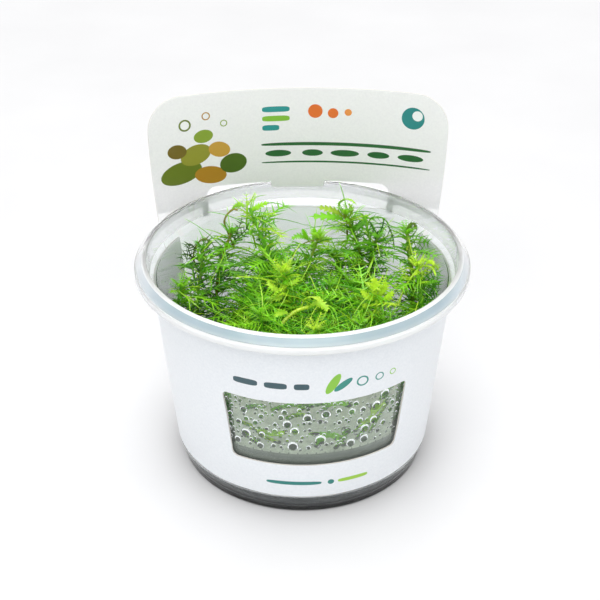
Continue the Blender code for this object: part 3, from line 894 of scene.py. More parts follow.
def frond_pattern(name, pairs, span, forward, lift, root_share=0.45, tip_share=0.5):
    """A comb of needles on a three-sided midrib: short steps of the rib carry a pair each."""
    long_step = LEAF_LENGTH / (pairs + 1) - PAIR_STEP
    frond = lying_rod(name, 3, RIB_RADIUS, long_step)
    reach = long_step
    for pair in range(pairs):
        share = (pair + 1) / (pairs + 1)
        needle = span * min(1.0, root_share + 2.2 * share) * (1 - (1 - tip_share) * share ** 2)
        draw_on(frond, PAIR_STEP)
        for way in (-1, 1):
            pick_faces(frond, lambda middle, normal: (
                reach < middle.y < reach + PAIR_STEP and way * normal.x > 0.4
                and abs(middle.x) < RIB_RADIUS))
            extrude(way * needle, forward * needle, lift * needle)
            bpy.ops.mesh.merge(type="CENTER")
        draw_on(frond, long_step * (1.0 if pair < pairs - 1 else 1.6))
        bpy.ops.transform.resize(value=(0.88, 1.0, 0.88))
        reach += PAIR_STEP
        reach += long_step
    close_to_point()
    smooth_by_angle(frond, 60)
    return frond


def toothed_leaf_pattern(name, teeth, blade, tooth, forward):
    """A thin blade drawn out step by step, each step's sides pulled into a tooth."""
    step = LEAF_LENGTH / (teeth + 1)
    width = 0.5 * MM
    leaf = add_primitive(name, "cube", size=1.0, location=(0, step / 2, 0))
    leaf.scale = (width, step, 0.3 * MM)
    bpy.ops.object.transform_apply(location=False, rotation=False, scale=True)
    bpy.ops.object.transform_apply(location=True, rotation=False, scale=False)
    open_for_editing(leaf)
    reach = step
    for number in range(teeth):
        share = (number + 1) / (teeth + 1)
        wanted = max(blade * math.sin(math.pi * share ** 0.8) ** 0.8, 0.3 * MM)
        draw_on(leaf, step)
        bpy.ops.transform.resize(value=(wanted / width, 1.0, 0.92))
        for way in (-1, 1):
            pick_faces(leaf, lambda middle, normal: (
                reach < middle.y < reach + step and way * normal.x > 0.4
                and abs(middle.x) < max(width, wanted) / 2 + 0.1 * MM))
            out = tooth * (0.35 + math.sin(math.pi * share))
            extrude(way * out, forward * out, 0)
            bpy.ops.transform.resize(value=(1.0, 0.12, 0.5))
        width = wanted
        reach += step
    draw_on(leaf, step * 0.8)
    close_to_point()
    for vertex in leaf.data.vertices:
        vertex.co.z += 0.22 * abs(vertex.co.x)
    smooth_by_angle(leaf, 50)
    return leaf


def thread_pattern():
    """A single hair-thin leaf segment."""
    thread = lying_rod("thread_pattern", 3, 0.19 * MM, 2.0 * MM)
    for _ in range(5):
        draw_on(thread, 2.0 * MM)
        bpy.ops.transform.resize(value=(0.84, 1.0, 0.84))
    close_to_point()
    smooth_by_angle(thread, 70)
    return thread


# Growing: copies of the patterns, bent along their own lines

def smooth_line(points, shares):
    """Places and directions on a smooth line through the points, at shares of its length."""
    points = np.array([tuple(point) for point in points])
    spans = len(points) - 1
    ends = np.vstack([2 * points[0] - points[1], points, 2 * points[-1] - points[-2]])
    at = np.clip(shares, 0.0, 1.0) * spans
    k = np.minimum(at.astype(int), spans - 1)
    t = (at - k)[:, None]
    a, b, c, d = ends[k], ends[k + 1], ends[k + 2], ends[k + 3]
    square = 2 * a - 5 * b + 4 * c - d
    cube = 3 * b - a - 3 * c + d
    place = b + 0.5 * t * ((c - a) + t * (square + t * cube))
    slope = 0.5 * ((c - a) + 2 * t * square + 3 * t * t * cube)
    return place, slope / np.linalg.norm(slope, axis=1)[:, None]


def along_line(line, share):
    return Vector(smooth_line(line, np.array([share]))[0][0])


def bent_copy(pattern, line, side, width, thickness, growth):
    """A copy of a pattern with its own mesh, laid along a line, its growth age, tint and bronze."""
    mesh = pattern.data.copy()
    flat = read_points(mesh)
    shares = flat[:, 1] / flat[:, 1].max()
    place, slope = smooth_line(line, shares)
    # The nudge keeps the flat's direction clear of the line's own
    side = np.array(tuple(side)) + np.array((0.0, 1e-4, 1e-4))
    wide = side - (slope @ side)[:, None] * slope
    wide /= np.linalg.norm(wide, axis=1)[:, None]
    thin = np.cross(wide, slope)
    across, through = (
        flat[:, axis:axis + 1] * np.reshape(size(shares) if callable(size) else size, (-1, 1))
        for axis, size in ((0, width), (2, thickness)))
    mesh.vertices.foreach_set("co", (place + wide * across + thin * through).ravel())
    age, tint, bronze = growth
    values = np.tile((age, 0.0, tint, bronze), (len(flat), 1))
    values[:, 1] = shares
    layer = mesh.attributes.new("growth", "FLOAT_COLOR", "POINT")
    layer.data.foreach_set("color", values.ravel())
    return linked_copy(pattern.name, mesh)


def read_shoot(node):
    """The stem's middle line and each blade's line, side and half width, from a packed shoot."""
    shape = bmesh.new()
    shape.from_mesh(node.data)
    bmesh.ops.remove_doubles(shape, verts=shape.verts, dist=0.001 * MM)
    shape.verts.index_update()
    blades = []
    on_blades = set()
    for tip in shape.verts:
        if len(tip.link_faces) != 4:
            continue
        if min(edge.calc_length() for edge in tip.link_edges) < 2 * MM:
            continue
        far = {edge.other_vert(tip) for edge in tip.link_edges}
        near = {edge.other_vert(v) for v in far for edge in v.link_edges} - far - {tip}
        on_blades |= far | near | {tip}
        middles = []
        sides = []
        for ring in (near, far):
            # In the order of their numbers, so that each run gives the same sides
            ring = [vertex.co.copy() for vertex in sorted(ring, key=lambda v: v.index)]
            middles.append(sum(ring, Vector()) / 4)
            first = ring[0]
            spans = sorted(ring[1:], key=lambda co: (co - first).length)
            sides.append(spans[1] - first)
        if sides[0].dot(sides[1]) < 0:
            sides[0].negate()
        blades.append((*middles, tip.co.copy(), *sides))
    stem = sorted((v.co.copy() for v in shape.verts if v not in on_blades), key=lambda co: co.z)
    shape.free()
    line = [sum(stem[i * 5:i * 5 + 5], Vector()) / 5 for i in range(6)]
    line.append(stem[-1])
    return line, blades


def blade_line(near, far, tip):
    """The parabola through a blade's rings and tip, from its root on."""
    a, b, c = 0.28, 0.66, 1.0

    def at(s):
        return (near * ((s - b) * (s - c)) / ((a - b) * (a - c))
                + far * ((s - a) * (s - c)) / ((b - a) * (b - c))
                + tip * ((s - a) * (s - b)) / ((c - a) * (c - b)))

    return [at(s) for s in (0.0, 0.25, 0.5, 0.75, 1.0)]


def has_room(line, margin):
    """Whether a leaf on this line stays above the gel, inside the cup and under the canopy."""
    for point in line[1:]:
        top = FRONT_CANOPY_Z if point.y < FRONT_PLANTS_Y else CANOPY_TOP_Z
        if not GEL_TOP_Z + 0.5 * MM <= point.z <= top:
            return False
        if point.xy.length > inner_wall(point.z) - margin:
            return False
    return True


def kept_inside(point):
    """The point, drawn in towards the axis where it would touch the wall."""
    limit = inner_wall(point.z) - 0.8 * MM
    if point.xy.length > limit:
        point.xy *= limit / point.xy.length
    return point


def make_foliage(leaves, name, tissue):
    """Join leaves to one piece. Points that would pass the inner wall lie against it."""
    foliage = join_pieces(leaves, name)
    for vertex in foliage.data.vertices:
        reach = inner_wall(vertex.co.z) - WALL_CLEARANCE
        radius = vertex.co.xy.length
        if vertex.co.z < CUP_HEIGHT and radius > reach:
            vertex.co.x *= reach / radius
            vertex.co.y *= reach / radius
    give_finishes(foliage, tissue)
    return foliage


def spray_line(base, turn, length, lift, droop, curl=0.0):
    """A leaf's line that leaves the stem level, lifts, bends over, and may curl sideways."""
    out = Vector((math.cos(turn), math.sin(turn), 0))
    level = UP.cross(out)
    points = []
    for s in (0.0, 0.25, 0.5, 0.75, 1.0):
        point = base + out * length * s + UP * length * (lift * s - droop * s * s)
        points.append(point + level * length * curl * s * s)
    return points, level


# How each shoot that stands out looks: its leaf patterns, age at foot and at tip, bronze of
# its stem, and girth
LOOKS = {
    "shoot_tall_left": (("young", "comb"), 0.95, 0.15, 0.10, 1.0),
    "shoot_bronze_left": (("comb", "sparse"), 0.85, 0.55, 0.75, 0.9),
    "shoot_lobed_rear": (("comb", "young"), 0.80, 0.35, 0.45, 1.1),
    "shoot_lobed_middle": (("comb", "young"), 0.70, 0.30, 0.55, 0.9),
    "shoot_arching_rear": (("sparse", "comb"), 0.85, 0.55, 0.40, 0.9),
    "shoot_coiled_right": (("sparse", "comb"), 0.80, 0.45, 0.50, 1.3),
    "shoot_dark_left": (("sparse", "comb"), 0.85, 0.66, 0.30, 0.8),
    "shoot_pale_middle": (("comb", "young"), 0.50, 0.10, 0.10, 1.1),
    "shoot_star_right": (("young", "comb"), 0.60, 0.05, 0.05, 1.0),
    "shoot_long_right": (("comb", "young"), 0.60, 0.10, 0.05, 1.2),
    "shoot_thick_front": (("comb", "young"), 0.55, 0.10, 0.15, 1.7),
}
FILL_LOOK = (("comb", "young", "sparse"), 0.80, 0.38, 0.10, 0.9)

# Above these heights in millimetres a shoot's blades are single threads
THREAD_TOPS = {
    "shoot_lobed_rear": 66.0, "shoot_lobed_middle": 60.0, "shoot_tall_left": 70.0,
    "shoot_bronze_left": 63.0,
}

# Leaves, hooks and coils that stand out: pattern, width, thickness, age, bronze, which way its
# flat lies (across the cup, facing up and forward, or turned edge on) and its line in millimetres
FEATURES = {
    "shoot_tall_left": (
        ("stem", 0.28, 0.28, 0.18, 0.05, "x", (-13.3, 19, 55.4), (-14.1, 19.5, 59.3),
         (-15.8, 20, 62.4), (-15.7, 21, 66.6), (-15.7, 22.5, 69.8)),
        ("comb", 0.5, 0.9, 0.06, 0, "x", (-15.7, 21, 66.3), (-15.7, 21.8, 68.5),
         (-15.8, 22.5, 70.5), (-15.9, 23, 72.6)),
        ("comb", 0.42, 0.9, 0.1, 0, "u", (-15.7, 22, 68.1), (-14.5, 22, 69.7), (-13.6, 22, 71.4),
         (-12.9, 22, 72.7)),
        ("comb", 0.42, 0.9, 0.12, 0, "u", (-15.7, 22, 67.4), (-17.2, 22, 68.8),
         (-18.3, 21, 69.6), (-19.2, 21, 69)),
        ("lobed", 0.5, 0.8, 0.22, 0.02, "u", (-15.3, 21, 66.3), (-13.9, 20.5, 67.8),
         (-11.8, 20, 69.2), (-8.9, 20, 70.5)),
        ("comb", 0.9, 1, 0.5, 0, "u", (-12.6, 20, 59), (-10.8, 20, 61), (-9, 20, 63),
         (-6, 19.5, 64.2)),
        ("comb", 0.8, 1, 0.6, 0.1, "u", (-13.2, 20, 57.6), (-11.1, 19, 58.8), (-9.3, 18, 61.7),
         (-6.9, 18, 63.7)),
        ("sparse", 0.9, 1, 0.55, 0, "u", (-14.3, 21, 63.2), (-12.5, 21, 64.2), (-10.7, 20, 65.7),
         (-9.5, 19, 65.5)),
    ),
    "shoot_bronze_left": (
        ("stem", 0.31, 0.31, 0.5, 0.9, "x", (-19.9, 18.5, 56.2), (-20.7, 19, 58.3),
         (-21.8, 19.5, 61.5), (-22.5, 19.5, 64.2), (-21.6, 19.5, 66.6), (-19.8, 19.5, 68.3),
         (-18.3, 19, 68.3)),
        ("lobed", 0.41, 0.8, 0.3, 0.25, "u", (-20.4, 19.5, 68.1), (-19.2, 19.5, 69.4),
         (-17.7, 19, 70.1), (-16.2, 18.5, 69.6)),
        ("comb", 0.7, 1, 0.85, 0.2, "x", (-20.1, 18, 57.8), (-18.8, 18, 61.5), (-17.5, 18, 64.9),
         (-17.2, 18, 67.2)),
        ("comb", 0.7, 1, 0.9, 0.1, "u", (-19.5, 18, 58.8), (-17.3, 18, 60.8), (-15.8, 18, 62.8),
         (-14.9, 18, 65.5)),
    ),
    "shoot_lobed_rear": (
        ("stem", 0.26, 0.26, 0.6, 0.8, "x", (14.8, 26, 53.9), (14.6, 26, 57.3), (14.4, 26, 60.4),
         (13.5, 26, 62.8), (12.6, 26, 64.6)),
        ("lobed", 0.66, 0.9, 0.32, 0.02, "u", (14.2, 26, 60.1), (11.7, 25.5, 61.9),
         (8, 24.5, 62.9), (2.4, 24, 63.2)),
        ("lobed", 0.56, 0.9, 0.12, 0.42, "u", (13.9, 26, 61.1), (11.7, 26, 63.4),
         (8.7, 26, 64.6), (5, 26, 65.5)),
        ("lobed", 0.49, 0.9, 0.16, 0.1, "o", (12.6, 26, 63.9), (11.8, 26, 66.3),
         (13.1, 25.5, 68.2), (15.5, 25, 68.4), (17.5, 24.5, 66.3)),
        ("lobed", 0.46, 0.9, 0.2, 0.3, "o", (14.4, 26, 60.4), (15.4, 26, 62.8), (15.6, 26, 64.8),
         (14.4, 26, 66.6)),
        ("lobed", 0.4, 0.8, 0.6, 0.1, "u", (14.9, 26, 55.2), (17, 25.5, 57.9), (19, 25, 59.9),
         (20.2, 25, 61.9)),
    ),
    "shoot_lobed_middle": (
        ("stem", 0.2, 0.2, 0.25, 0.75, "u", (-2.5, 19, 52.5), (-0.3, 19.3, 55.4),
         (2.1, 19.5, 56.9), (5.1, 19.5, 57.6), (9, 19.5, 57.2)),
        ("lobed", 0.48, 0.8, 0.35, 0.05, "u", (2.7, 19.5, 57.3), (0.9, 19.5, 58.7),
         (-0.9, 19.5, 59), (-3, 19, 58)),
        ("lobed", 0.41, 0.8, 0.3, 0.05, "x", (2.7, 19.5, 57.3), (1.5, 19.5, 59.7),
         (0.6, 19.5, 61.7)),
        ("lobed", 0.46, 0.8, 0.28, 0.05, "x", (4.2, 19.5, 57.6), (4.5, 19.5, 59.6),
         (3.9, 19.5, 62)),
        ("lobed", 0.41, 0.8, 0.25, 0.12, "u", (4.5, 19.5, 57.6), (5.4, 19.5, 60),
         (6.3, 19.5, 61.3)),
        ("lobed", 0.4, 0.8, 0.3, 0.3, "u", (5.1, 19.5, 57.6), (7.2, 19.5, 58.2), (10.2, 19, 57.9)),
    ),
    "shoot_arching_rear": (
        ("stem", 0.24, 0.24, 0.45, 0.1, "x", (21.9, 19, 49.9), (21.1, 19.5, 55.6),
         (20.4, 20, 60.4), (19.8, 20.5, 63.6), (18.3, 21, 65.4), (16.8, 21, 65.4)),
        ("sparse", 0.34, 0.8, 0.5, 0.05, "x", (20.8, 19.5, 57.3), (20.1, 20.3, 61.6),
         (18.6, 21, 65.2), (16.5, 21, 65.4)),
        ("lobed", 0.4, 0.8, 0.6, 0.1, "u", (16.3, 21, 59.3), (17.8, 21, 61.3), (19.5, 21, 63),
         (20.1, 21, 65)),
        ("stem", 0.18, 0.18, 0.5, 0.1, "u", (20.4, 20.5, 62.2), (21.5, 20.5, 64.4),
         (24.8, 20, 64.4), (26.4, 20, 62.4), (27.6, 20, 61.5), (31.1, 19, 61.3)),
        ("sparse", 0.36, 0.8, 0.55, 0.08, "u", (20.7, 20.5, 63.2), (22.7, 20.4, 64.7),
         (25.7, 20, 63.7), (27, 20, 61)),
        ("comb", 0.8, 1, 0.85, 0.05, "u", (21, 20.5, 62.9), (22.2, 20, 60.4), (24.4, 20, 58.3),
         (26.6, 20, 57.6)),
        ("comb", 0.8, 1, 0.95, 0, "u", (20.4, 20, 59.8), (22.8, 19.5, 58.6), (25.3, 19, 57.5),
         (27.5, 19, 55)),
        ("comb", 0.8, 1, 0.9, 0, "x", (25.1, 20, 64.1), (24.6, 20, 61), (23.5, 20, 57.7),
         (23, 20, 54.2)),
        ("sparse", 0.8, 1, 0.75, 0.2, "u", (26.4, 20, 61.7), (27.6, 19.5, 59.2),
         (28.3, 19, 56.4), (27.8, 19, 54)),
    ),
    "shoot_coiled_right": (
        ("stem", 0.34, 0.34, 0.66, 0.5, "x", (33, 15, 49.9), (32.3, 16, 54.9),
         (31.9, 16.8, 59.2), (31.9, 17, 62.2), (32.6, 17, 63.8), (33.8, 17, 63.8),
         (34.3, 17, 62.5)),
        ("comb", 0.42, 0.9, 0.72, 0.3, "x", (32, 16.5, 61.4), (32.2, 16.5, 63.8),
         (33.7, 16.5, 64.6), (34.9, 16.5, 63.1)),
        ("comb", 0.42, 0.9, 0.62, 0.35, "u", (34.1, 16.5, 61.7), (32.5, 16, 62),
         (32.2, 16, 63.7), (33.3, 16, 64.7)),
        ("young", 0.42, 0.9, 0.78, 0.3, "o", (32.3, 16.5, 62.4), (33.2, 17, 63.8),
         (34.7, 17, 63.1), (34.4, 16.5, 61.4)),
        ("sparse", 0.8, 1, 0.5, 0.1, "u", (32.8, 16.5, 58.4), (35.1, 16, 57.9), (37.4, 15, 58.8),
         (38.9, 13, 58.8)),
        ("sparse", 0.8, 1, 0.55, 0.1, "u", (32.4, 16.8, 59.9), (34.4, 16, 60.3),
         (36.7, 15, 59.8), (38, 13, 58.5)),
        ("comb", 0.7, 1, 0.6, 0.1, "u", (32.9, 16.5, 56.3), (35.3, 16, 55.5), (37.2, 15, 55.7),
         (38.5, 13, 55.1)),
    ),
    "shoot_dark_left": (
        ("stem", 0.26, 0.26, 0.85, 0.5, "x", (-29, 11, 46.5), (-30.1, 13, 50.2),
         (-31.8, 15, 53.9), (-31.4, 16, 57.4), (-29.5, 16.5, 59.8), (-28, 16.5, 60.1),
         (-26.9, 16, 59.1)),
        ("comb", 0.8, 1, 1, 0.1, "x", (-31.8, 15, 53.2), (-32.9, 15, 56), (-33.4, 15.5, 58.1),
         (-32.8, 16, 59.5)),
        ("comb", 0.8, 1, 0.9, 0.15, "u", (-31.8, 15, 54.6), (-33.8, 15, 56), (-35.2, 14, 56.2),
         (-35.8, 13, 54.4)),
        ("comb", 0.8, 1, 1, 0.1, "x", (-31.1, 15.5, 56.4), (-31.9, 15.5, 58.4),
         (-33.3, 15, 59.4), (-34.8, 14, 58.6)),
        ("sparse", 0.8, 1, 0.85, 0.3, "u", (-29.2, 16.5, 59.5), (-27.4, 16, 60.1),
         (-26, 16, 58.4), (-25.1, 15, 56.5)),
        ("comb", 0.8, 1, 0.95, 0.1, "u", (-30.2, 16, 58.1), (-28.4, 16, 57.4), (-26.9, 15, 56.2),
         (-25.8, 15, 54.1)),
    ),
    "shoot_pale_middle": (
        ("stem", 0.26, 0.26, 0.05, 0.1, "x", (-5.6, 1, 50.7), (-4.4, 2, 52.8), (-4.6, 2.5, 54.5),
         (-6.1, 3, 55.9), (-6.3, 3, 58.3)),
        ("lobed", 0.53, 0.8, 0.05, 0, "u", (-5.3, 0, 52.3), (-7.6, -1, 52.6), (-9.3, -1, 54.3),
         (-9.9, 0, 55.7)),
        ("lobed", 0.46, 0.8, 0.1, 0, "u", (-5.5, 2, 53.5), (-3.5, 1, 53.4), (-1.8, 1, 54.3),
         (-0.9, 1, 56.3)),
        ("lobed", 0.4, 0.8, 0, 0, "x", (-6.4, 3, 55.6), (-5.5, 3, 57.6), (-4.3, 3, 59.5)),
        ("young", 0.6, 1, 0.02, 0, "x", (-6.3, 3, 56.9), (-7.5, 3, 58.9), (-8, 3, 61.3)),
        ("lobed", 0.4, 0.8, 0.12, 0.05, "u", (-5.6, 0, 51.3), (-6.2, -1, 50.2), (-7.9, -2, 50.2),
         (-9.4, -2, 51.2)),
    ),
    "shoot_star_right": (
        ("stem", 0.38, 0.38, 0.04, 0.12, "x", (15.2, -10, 45.9), (17.3, -9.5, 46.9),
         (19.3, -9, 48.3), (20.7, -8, 50.3), (21, -7, 52.7)),
        ("lobed", 0.76, 0.9, 0, 0.02, "x", (21, -7, 52), (20.1, -6.5, 54.7), (20.4, -6, 57),
         (19.7, -6, 59.7)),
        ("lobed", 0.66, 0.9, 0.04, 0.02, "x", (21, -7, 52.3), (22.1, -7, 55), (23.1, -7, 56.6),
         (23.3, -7, 58.9)),
        ("lobed", 0.56, 0.9, 0.02, 0, "u", (21, -7, 52.3), (18.9, -7.5, 53.4), (17.1, -8, 55),
         (16, -8, 56.7)),
        ("lobed", 0.56, 0.9, 0.08, 0, "u", (21, -7, 52.3), (22.9, -8, 53.2), (24.4, -9, 55.1),
         (25.5, -9, 56.8)),
    ),
    "shoot_long_right": (
        ("comb", 0.8, 1, 0.7, 0.1, "u", (34.4, 1, 49.9), (36.6, 1, 52.6), (38.7, 0, 53.8),
         (40.5, -2, 53.6)),
        ("comb", 0.8, 1, 0.8, 0, "u", (33.8, 0, 47.8), (36.2, -1, 49.7), (37.8, -3, 51.9),
         (39.3, -5, 52.4)),
        ("sparse", 0.8, 1, 0.6, 0, "u", (35.2, 2, 53.3), (37.1, 2, 55.7), (38.9, 1, 56.5),
         (40.9, 0, 55.8)),
        ("comb", 0.8, 1, 0.5, 0, "x", (37.4, -2, 51.6), (38.4, -2, 54.3), (38.8, -2, 56.6),
         (39.6, -2, 58.6)),
        ("comb", 0.8, 1, 0.75, 0, "x", (35, -4, 49.2), (36.5, -4, 52.2), (37.5, -4, 54.9),
         (38, -4, 56.8)),
        ("sparse", 0.8, 1, 0.65, 0.1, "u", (32.1, -4, 48.2), (34.1, -6, 50.1), (35.7, -8, 52),
         (36.9, -10, 52.5)),
        ("stem", 0.3, 0.3, 0.04, 0.1, "x", (27.2, -6, 49.6), (28.6, -3, 51.8), (30.2, -1, 53.9),
         (32.3, 1, 56), (35, 2.5, 57.8), (37.5, 1.5, 57.6), (38.4, -1, 56.4)),
        ("young", 0.6, 1, 0, 0, "x", (31.1, 0, 54.6), (29.3, 0, 56.7), (28.1, 1, 59.1)),
        ("young", 0.6, 1, 0.05, 0, "u", (33.5, 1.5, 56.7), (34, 2, 59.1), (35.1, 2.5, 60.7)),
        ("lobed", 0.4, 0.8, 0.02, 0, "u", (35.3, 2.5, 57.8), (36.3, 2, 59.3), (37.3, 1, 59.9),
         (37.8, 0, 59.1)),
        ("young", 0.6, 1, 0.08, 0, "u", (37, 2, 57.3), (38.5, 1, 58.6), (39.1, -1, 58.4)),
        ("young", 0.6, 1, 0.05, 0, "x", (29.3, -2, 51.8), (27.8, -2, 53.2), (26.2, -2, 55.2)),
    ),
    "shoot_thick_front": (
        ("stem", 0.53, 0.53, 0, 0.3, "u", (-6.2, -18, 51.9), (-5.1, -17, 52.8),
         (-3.1, -16, 54.1), (-0.9, -15.5, 55.1), (1.3, -15, 55.4)),
        ("lobed", 0.66, 0.9, 0.02, 0.02, "o", (-0.9, -15.5, 55.1), (-0.1, -15, 57.7),
         (1.9, -15, 58.9), (4.1, -15, 58.2), (4.9, -15, 56.3), (3.3, -15, 55)),
        ("lobed", 0.59, 0.9, 0.1, 0, "u", (1.1, -15, 55.4), (3.2, -16, 57.3), (5.4, -17, 56.9),
         (6.4, -18, 55.5)),
        ("lobed", 0.46, 0.9, 0.15, 0.05, "u", (-4, -16.5, 53.8), (-5.6, -17, 55.1),
         (-7.3, -18, 55.5), (-8.4, -19, 54.5)),
    ),
}
SIDES = {"x": Vector((1, 0, 0)), "u": Vector((0, 0.52, 0.85)), "o": Vector((0.5, 0.7, -0.4))}


def grow_shoot(rng, name, node, patterns, tissue):
    kinds, low_age, high_age, bronze, girth = LOOKS.get(name, FILL_LOOK)
    line, blades = read_shoot(node)
    foot = line[0].z
    reach = line[-1].z - foot
    leaves = []

    def lay(kind, *shape):
        leaves.append(bent_copy(patterns[kind], *shape))

    def age_at(z):
        share = min(max((z - foot) / reach, 0.0), 1.0)
        age = low_age + (high_age - low_age) * share ** 1.3
        return min(max(age + rng.uniform(-0.26, 0.26), 0.0), 1.0)

    def girth_along(shares):
        return girth * (0.62 - 0.24 * shares)

    lay("stem", line, SIDES["x"], girth_along, girth_along,
        (0.55 * low_age + 0.3 * high_age, rng.random(), bronze))

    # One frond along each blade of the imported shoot, or a thread where the blades are high
    for near, far, tip, near_side, far_side in blades:
        leaf_line = blade_line(near, far, tip)
        kind = rng.choice(kinds)
        if tip.z > THREAD_TOPS.get(name, 100.0) * MM:
            kind = "thread"
        lay(kind, leaf_line, near_side + far_side, far_side.length / 2 * 1.12 / LEAF_WIDTH, 1.0,
            (age_at(leaf_line[0].z), rng.random(), bronze * rng.uniform(0.0, 0.35)))

    # Smaller fronds fill the stem between the blades, as the whorls of the plant do
    blade_length = sum((tip - near).length for near, _, tip, _, _ in blades) / len(blades) / 0.72
    turn = rng.uniform(0, math.tau)
    for step in range(FRONDS):
        share = 0.20 + 0.78 * (step + rng.random()) / FRONDS
        base = along_line(line, share * BLADE_SHARE)
        turn += GOLDEN_TURN
        for attempt in range(5):
            length = blade_length * rng.uniform(0.50, 0.85) * (1.0 - 0.35 * share ** 3)
            way = turn + rng.uniform(-0.5, 0.5) * (1 + attempt)
            leaf_line, level = spray_line(
                base, way, length, rng.uniform(0.25, 0.8), rng.uniform(0.1, 0.6),
                rng.uniform(-0.15, 0.15))
            if has_room(leaf_line, 0.9 * MM):
                kind = rng.choice(("comb", "sparse", "young") + kinds)
                width = rng.uniform(0.75, 1.05) * length / LEAF_LENGTH
                lay(kind, leaf_line, level + UP * rng.uniform(-0.5, 0.5), width, 1.0,
                    (age_at(base.z + 3 * MM), rng.random(), bronze * rng.uniform(0.0, 0.25)))
                break

    # The growing tip: young fronds close round the stem's end
    base = along_line(line, 0.93)
    for number in range(TIP_FRONDS):
        way = turn + math.tau * number / TIP_FRONDS + rng.uniform(-0.3, 0.3)
        length = rng.uniform(4.0, 6.0) * MM
        leaf_line, level = spray_line(base, way, length * 0.55, 1.7, rng.uniform(0.2, 0.7))
        if has_room(leaf_line, 0.5 * MM):
            lay("young", leaf_line, level, 0.5, 0.8,
                (max(high_age - 0.1, 0.0), rng.random(), 0.0))

    # Hair-thin lime segments stand out of the mass
    for _ in range(THREADS):
        base = along_line(line, rng.uniform(0.45, 1.0) * BLADE_SHARE)
        leaf_line, level = spray_line(
            base, rng.uniform(0, math.tau), rng.uniform(6, 11) * MM,
            rng.uniform(0.4, 1.3), rng.uniform(0.2, 0.9), rng.uniform(-0.3, 0.3))
        if has_room(leaf_line, 0.6 * MM):
            lay("thread", leaf_line, level, 1.0, 1.0, (rng.uniform(0.0, 0.4), rng.random(), 0.0))

    # Long loose segments curl round each other
    loose = random.Random(len(leaves))
    for _ in range(CURLS):
        base = along_line(line, loose.uniform(0.5, 0.98) * BLADE_SHARE)
        leaf_line, level = spray_line(
            base, loose.uniform(0, math.tau), loose.uniform(8, 13) * MM,
            loose.uniform(0.3, 1.0), loose.uniform(0.3, 1.1), loose.choice((-0.9, -0.6, 0.6, 0.9)))
        if has_room(leaf_line, 0.6 * MM):
            lay("thread", leaf_line, level, 1.3, 1.3,
                (loose.uniform(0.15, 0.6), loose.random(), 0.0))

    for kind, width, thickness, age, own_bronze, side, *points in FEATURES.get(name, ()):
        lay(kind, [kept_inside(Vector(point) * MM) for point in points], SIDES[side], width,
            thickness, (age, rng.random(), own_bronze))

    foliage = make_foliage(leaves, name.replace("shoot_", "shoot_leaves_"), tissue)
    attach(foliage, "root")
    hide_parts(name)


# Leaves pressed against the wall behind the window: pattern, width, age, and their line as
# angles from the window's middle and heights in millimetres
WALL_LEAVES = (
    ("young", 0.80, 0.08, (-0.56, 31.5), (-0.47, 31.0), (-0.36, 27.5), (-0.27, 26.5)),
    ("lobed", 1.00, 0.15, (-0.40, 30.5), (-0.33, 29.0), (-0.27, 29.5), (-0.22, 30.5)),
    ("comb", 0.80, 0.25, (-0.52, 27.5), (-0.48, 26.4), (-0.44, 25.3), (-0.41, 24.5)),
    ("lobed", 1.30, 0.30, (0.00, 25.5), (0.04, 28.5), (0.12, 29.0), (0.20, 27.0)),
    ("comb", 1.00, 0.30, (0.20, 24.5), (0.15, 27.0), (0.08, 29.5), (-0.03, 30.0)),
    ("young", 0.90, 0.25, (0.14, 24.0), (0.18, 26.2), (0.20, 28.4), (0.19, 30.5)),
    ("lobed", 1.10, 0.12, (0.28, 29.0), (0.36, 31.5), (0.44, 34.0), (0.52, 37.0)),
    ("comb", 1.00, 0.30, (0.30, 26.0), (0.36, 29.0), (0.41, 33.0), (0.39, 36.5)),
    ("sparse", 1.00, 0.25, (0.40, 27.0), (0.44, 30.0), (0.48, 33.0), (0.52, 35.0)),
    ("lobed", 1.30, 0.28, (0.04, 38.5), (0.09, 40.2), (0.16, 40.0), (0.22, 38.5)),
    ("comb", 1.00, 0.40, (-0.12, 39.0), (-0.05, 40.0), (0.02, 40.6), (0.08, 41.0)),
    ("young", 0.90, 0.18, (-0.20, 35.5), (-0.16, 36.6), (-0.11, 37.0), (-0.06, 36.5)),
    ("sparse", 1.00, 0.35, (-0.30, 38.0), (-0.24, 39.4), (-0.18, 40.2), (-0.12, 40.5)),
    ("comb", 1.00, 0.45, (0.46, 38.0), (0.50, 39.2), (0.53, 40.2), (0.56, 41.0)),
    ("comb", 0.90, 0.45, (-0.50, 37.0), (-0.45, 38.0), (-0.40, 38.6), (-0.36, 39.0)),
)


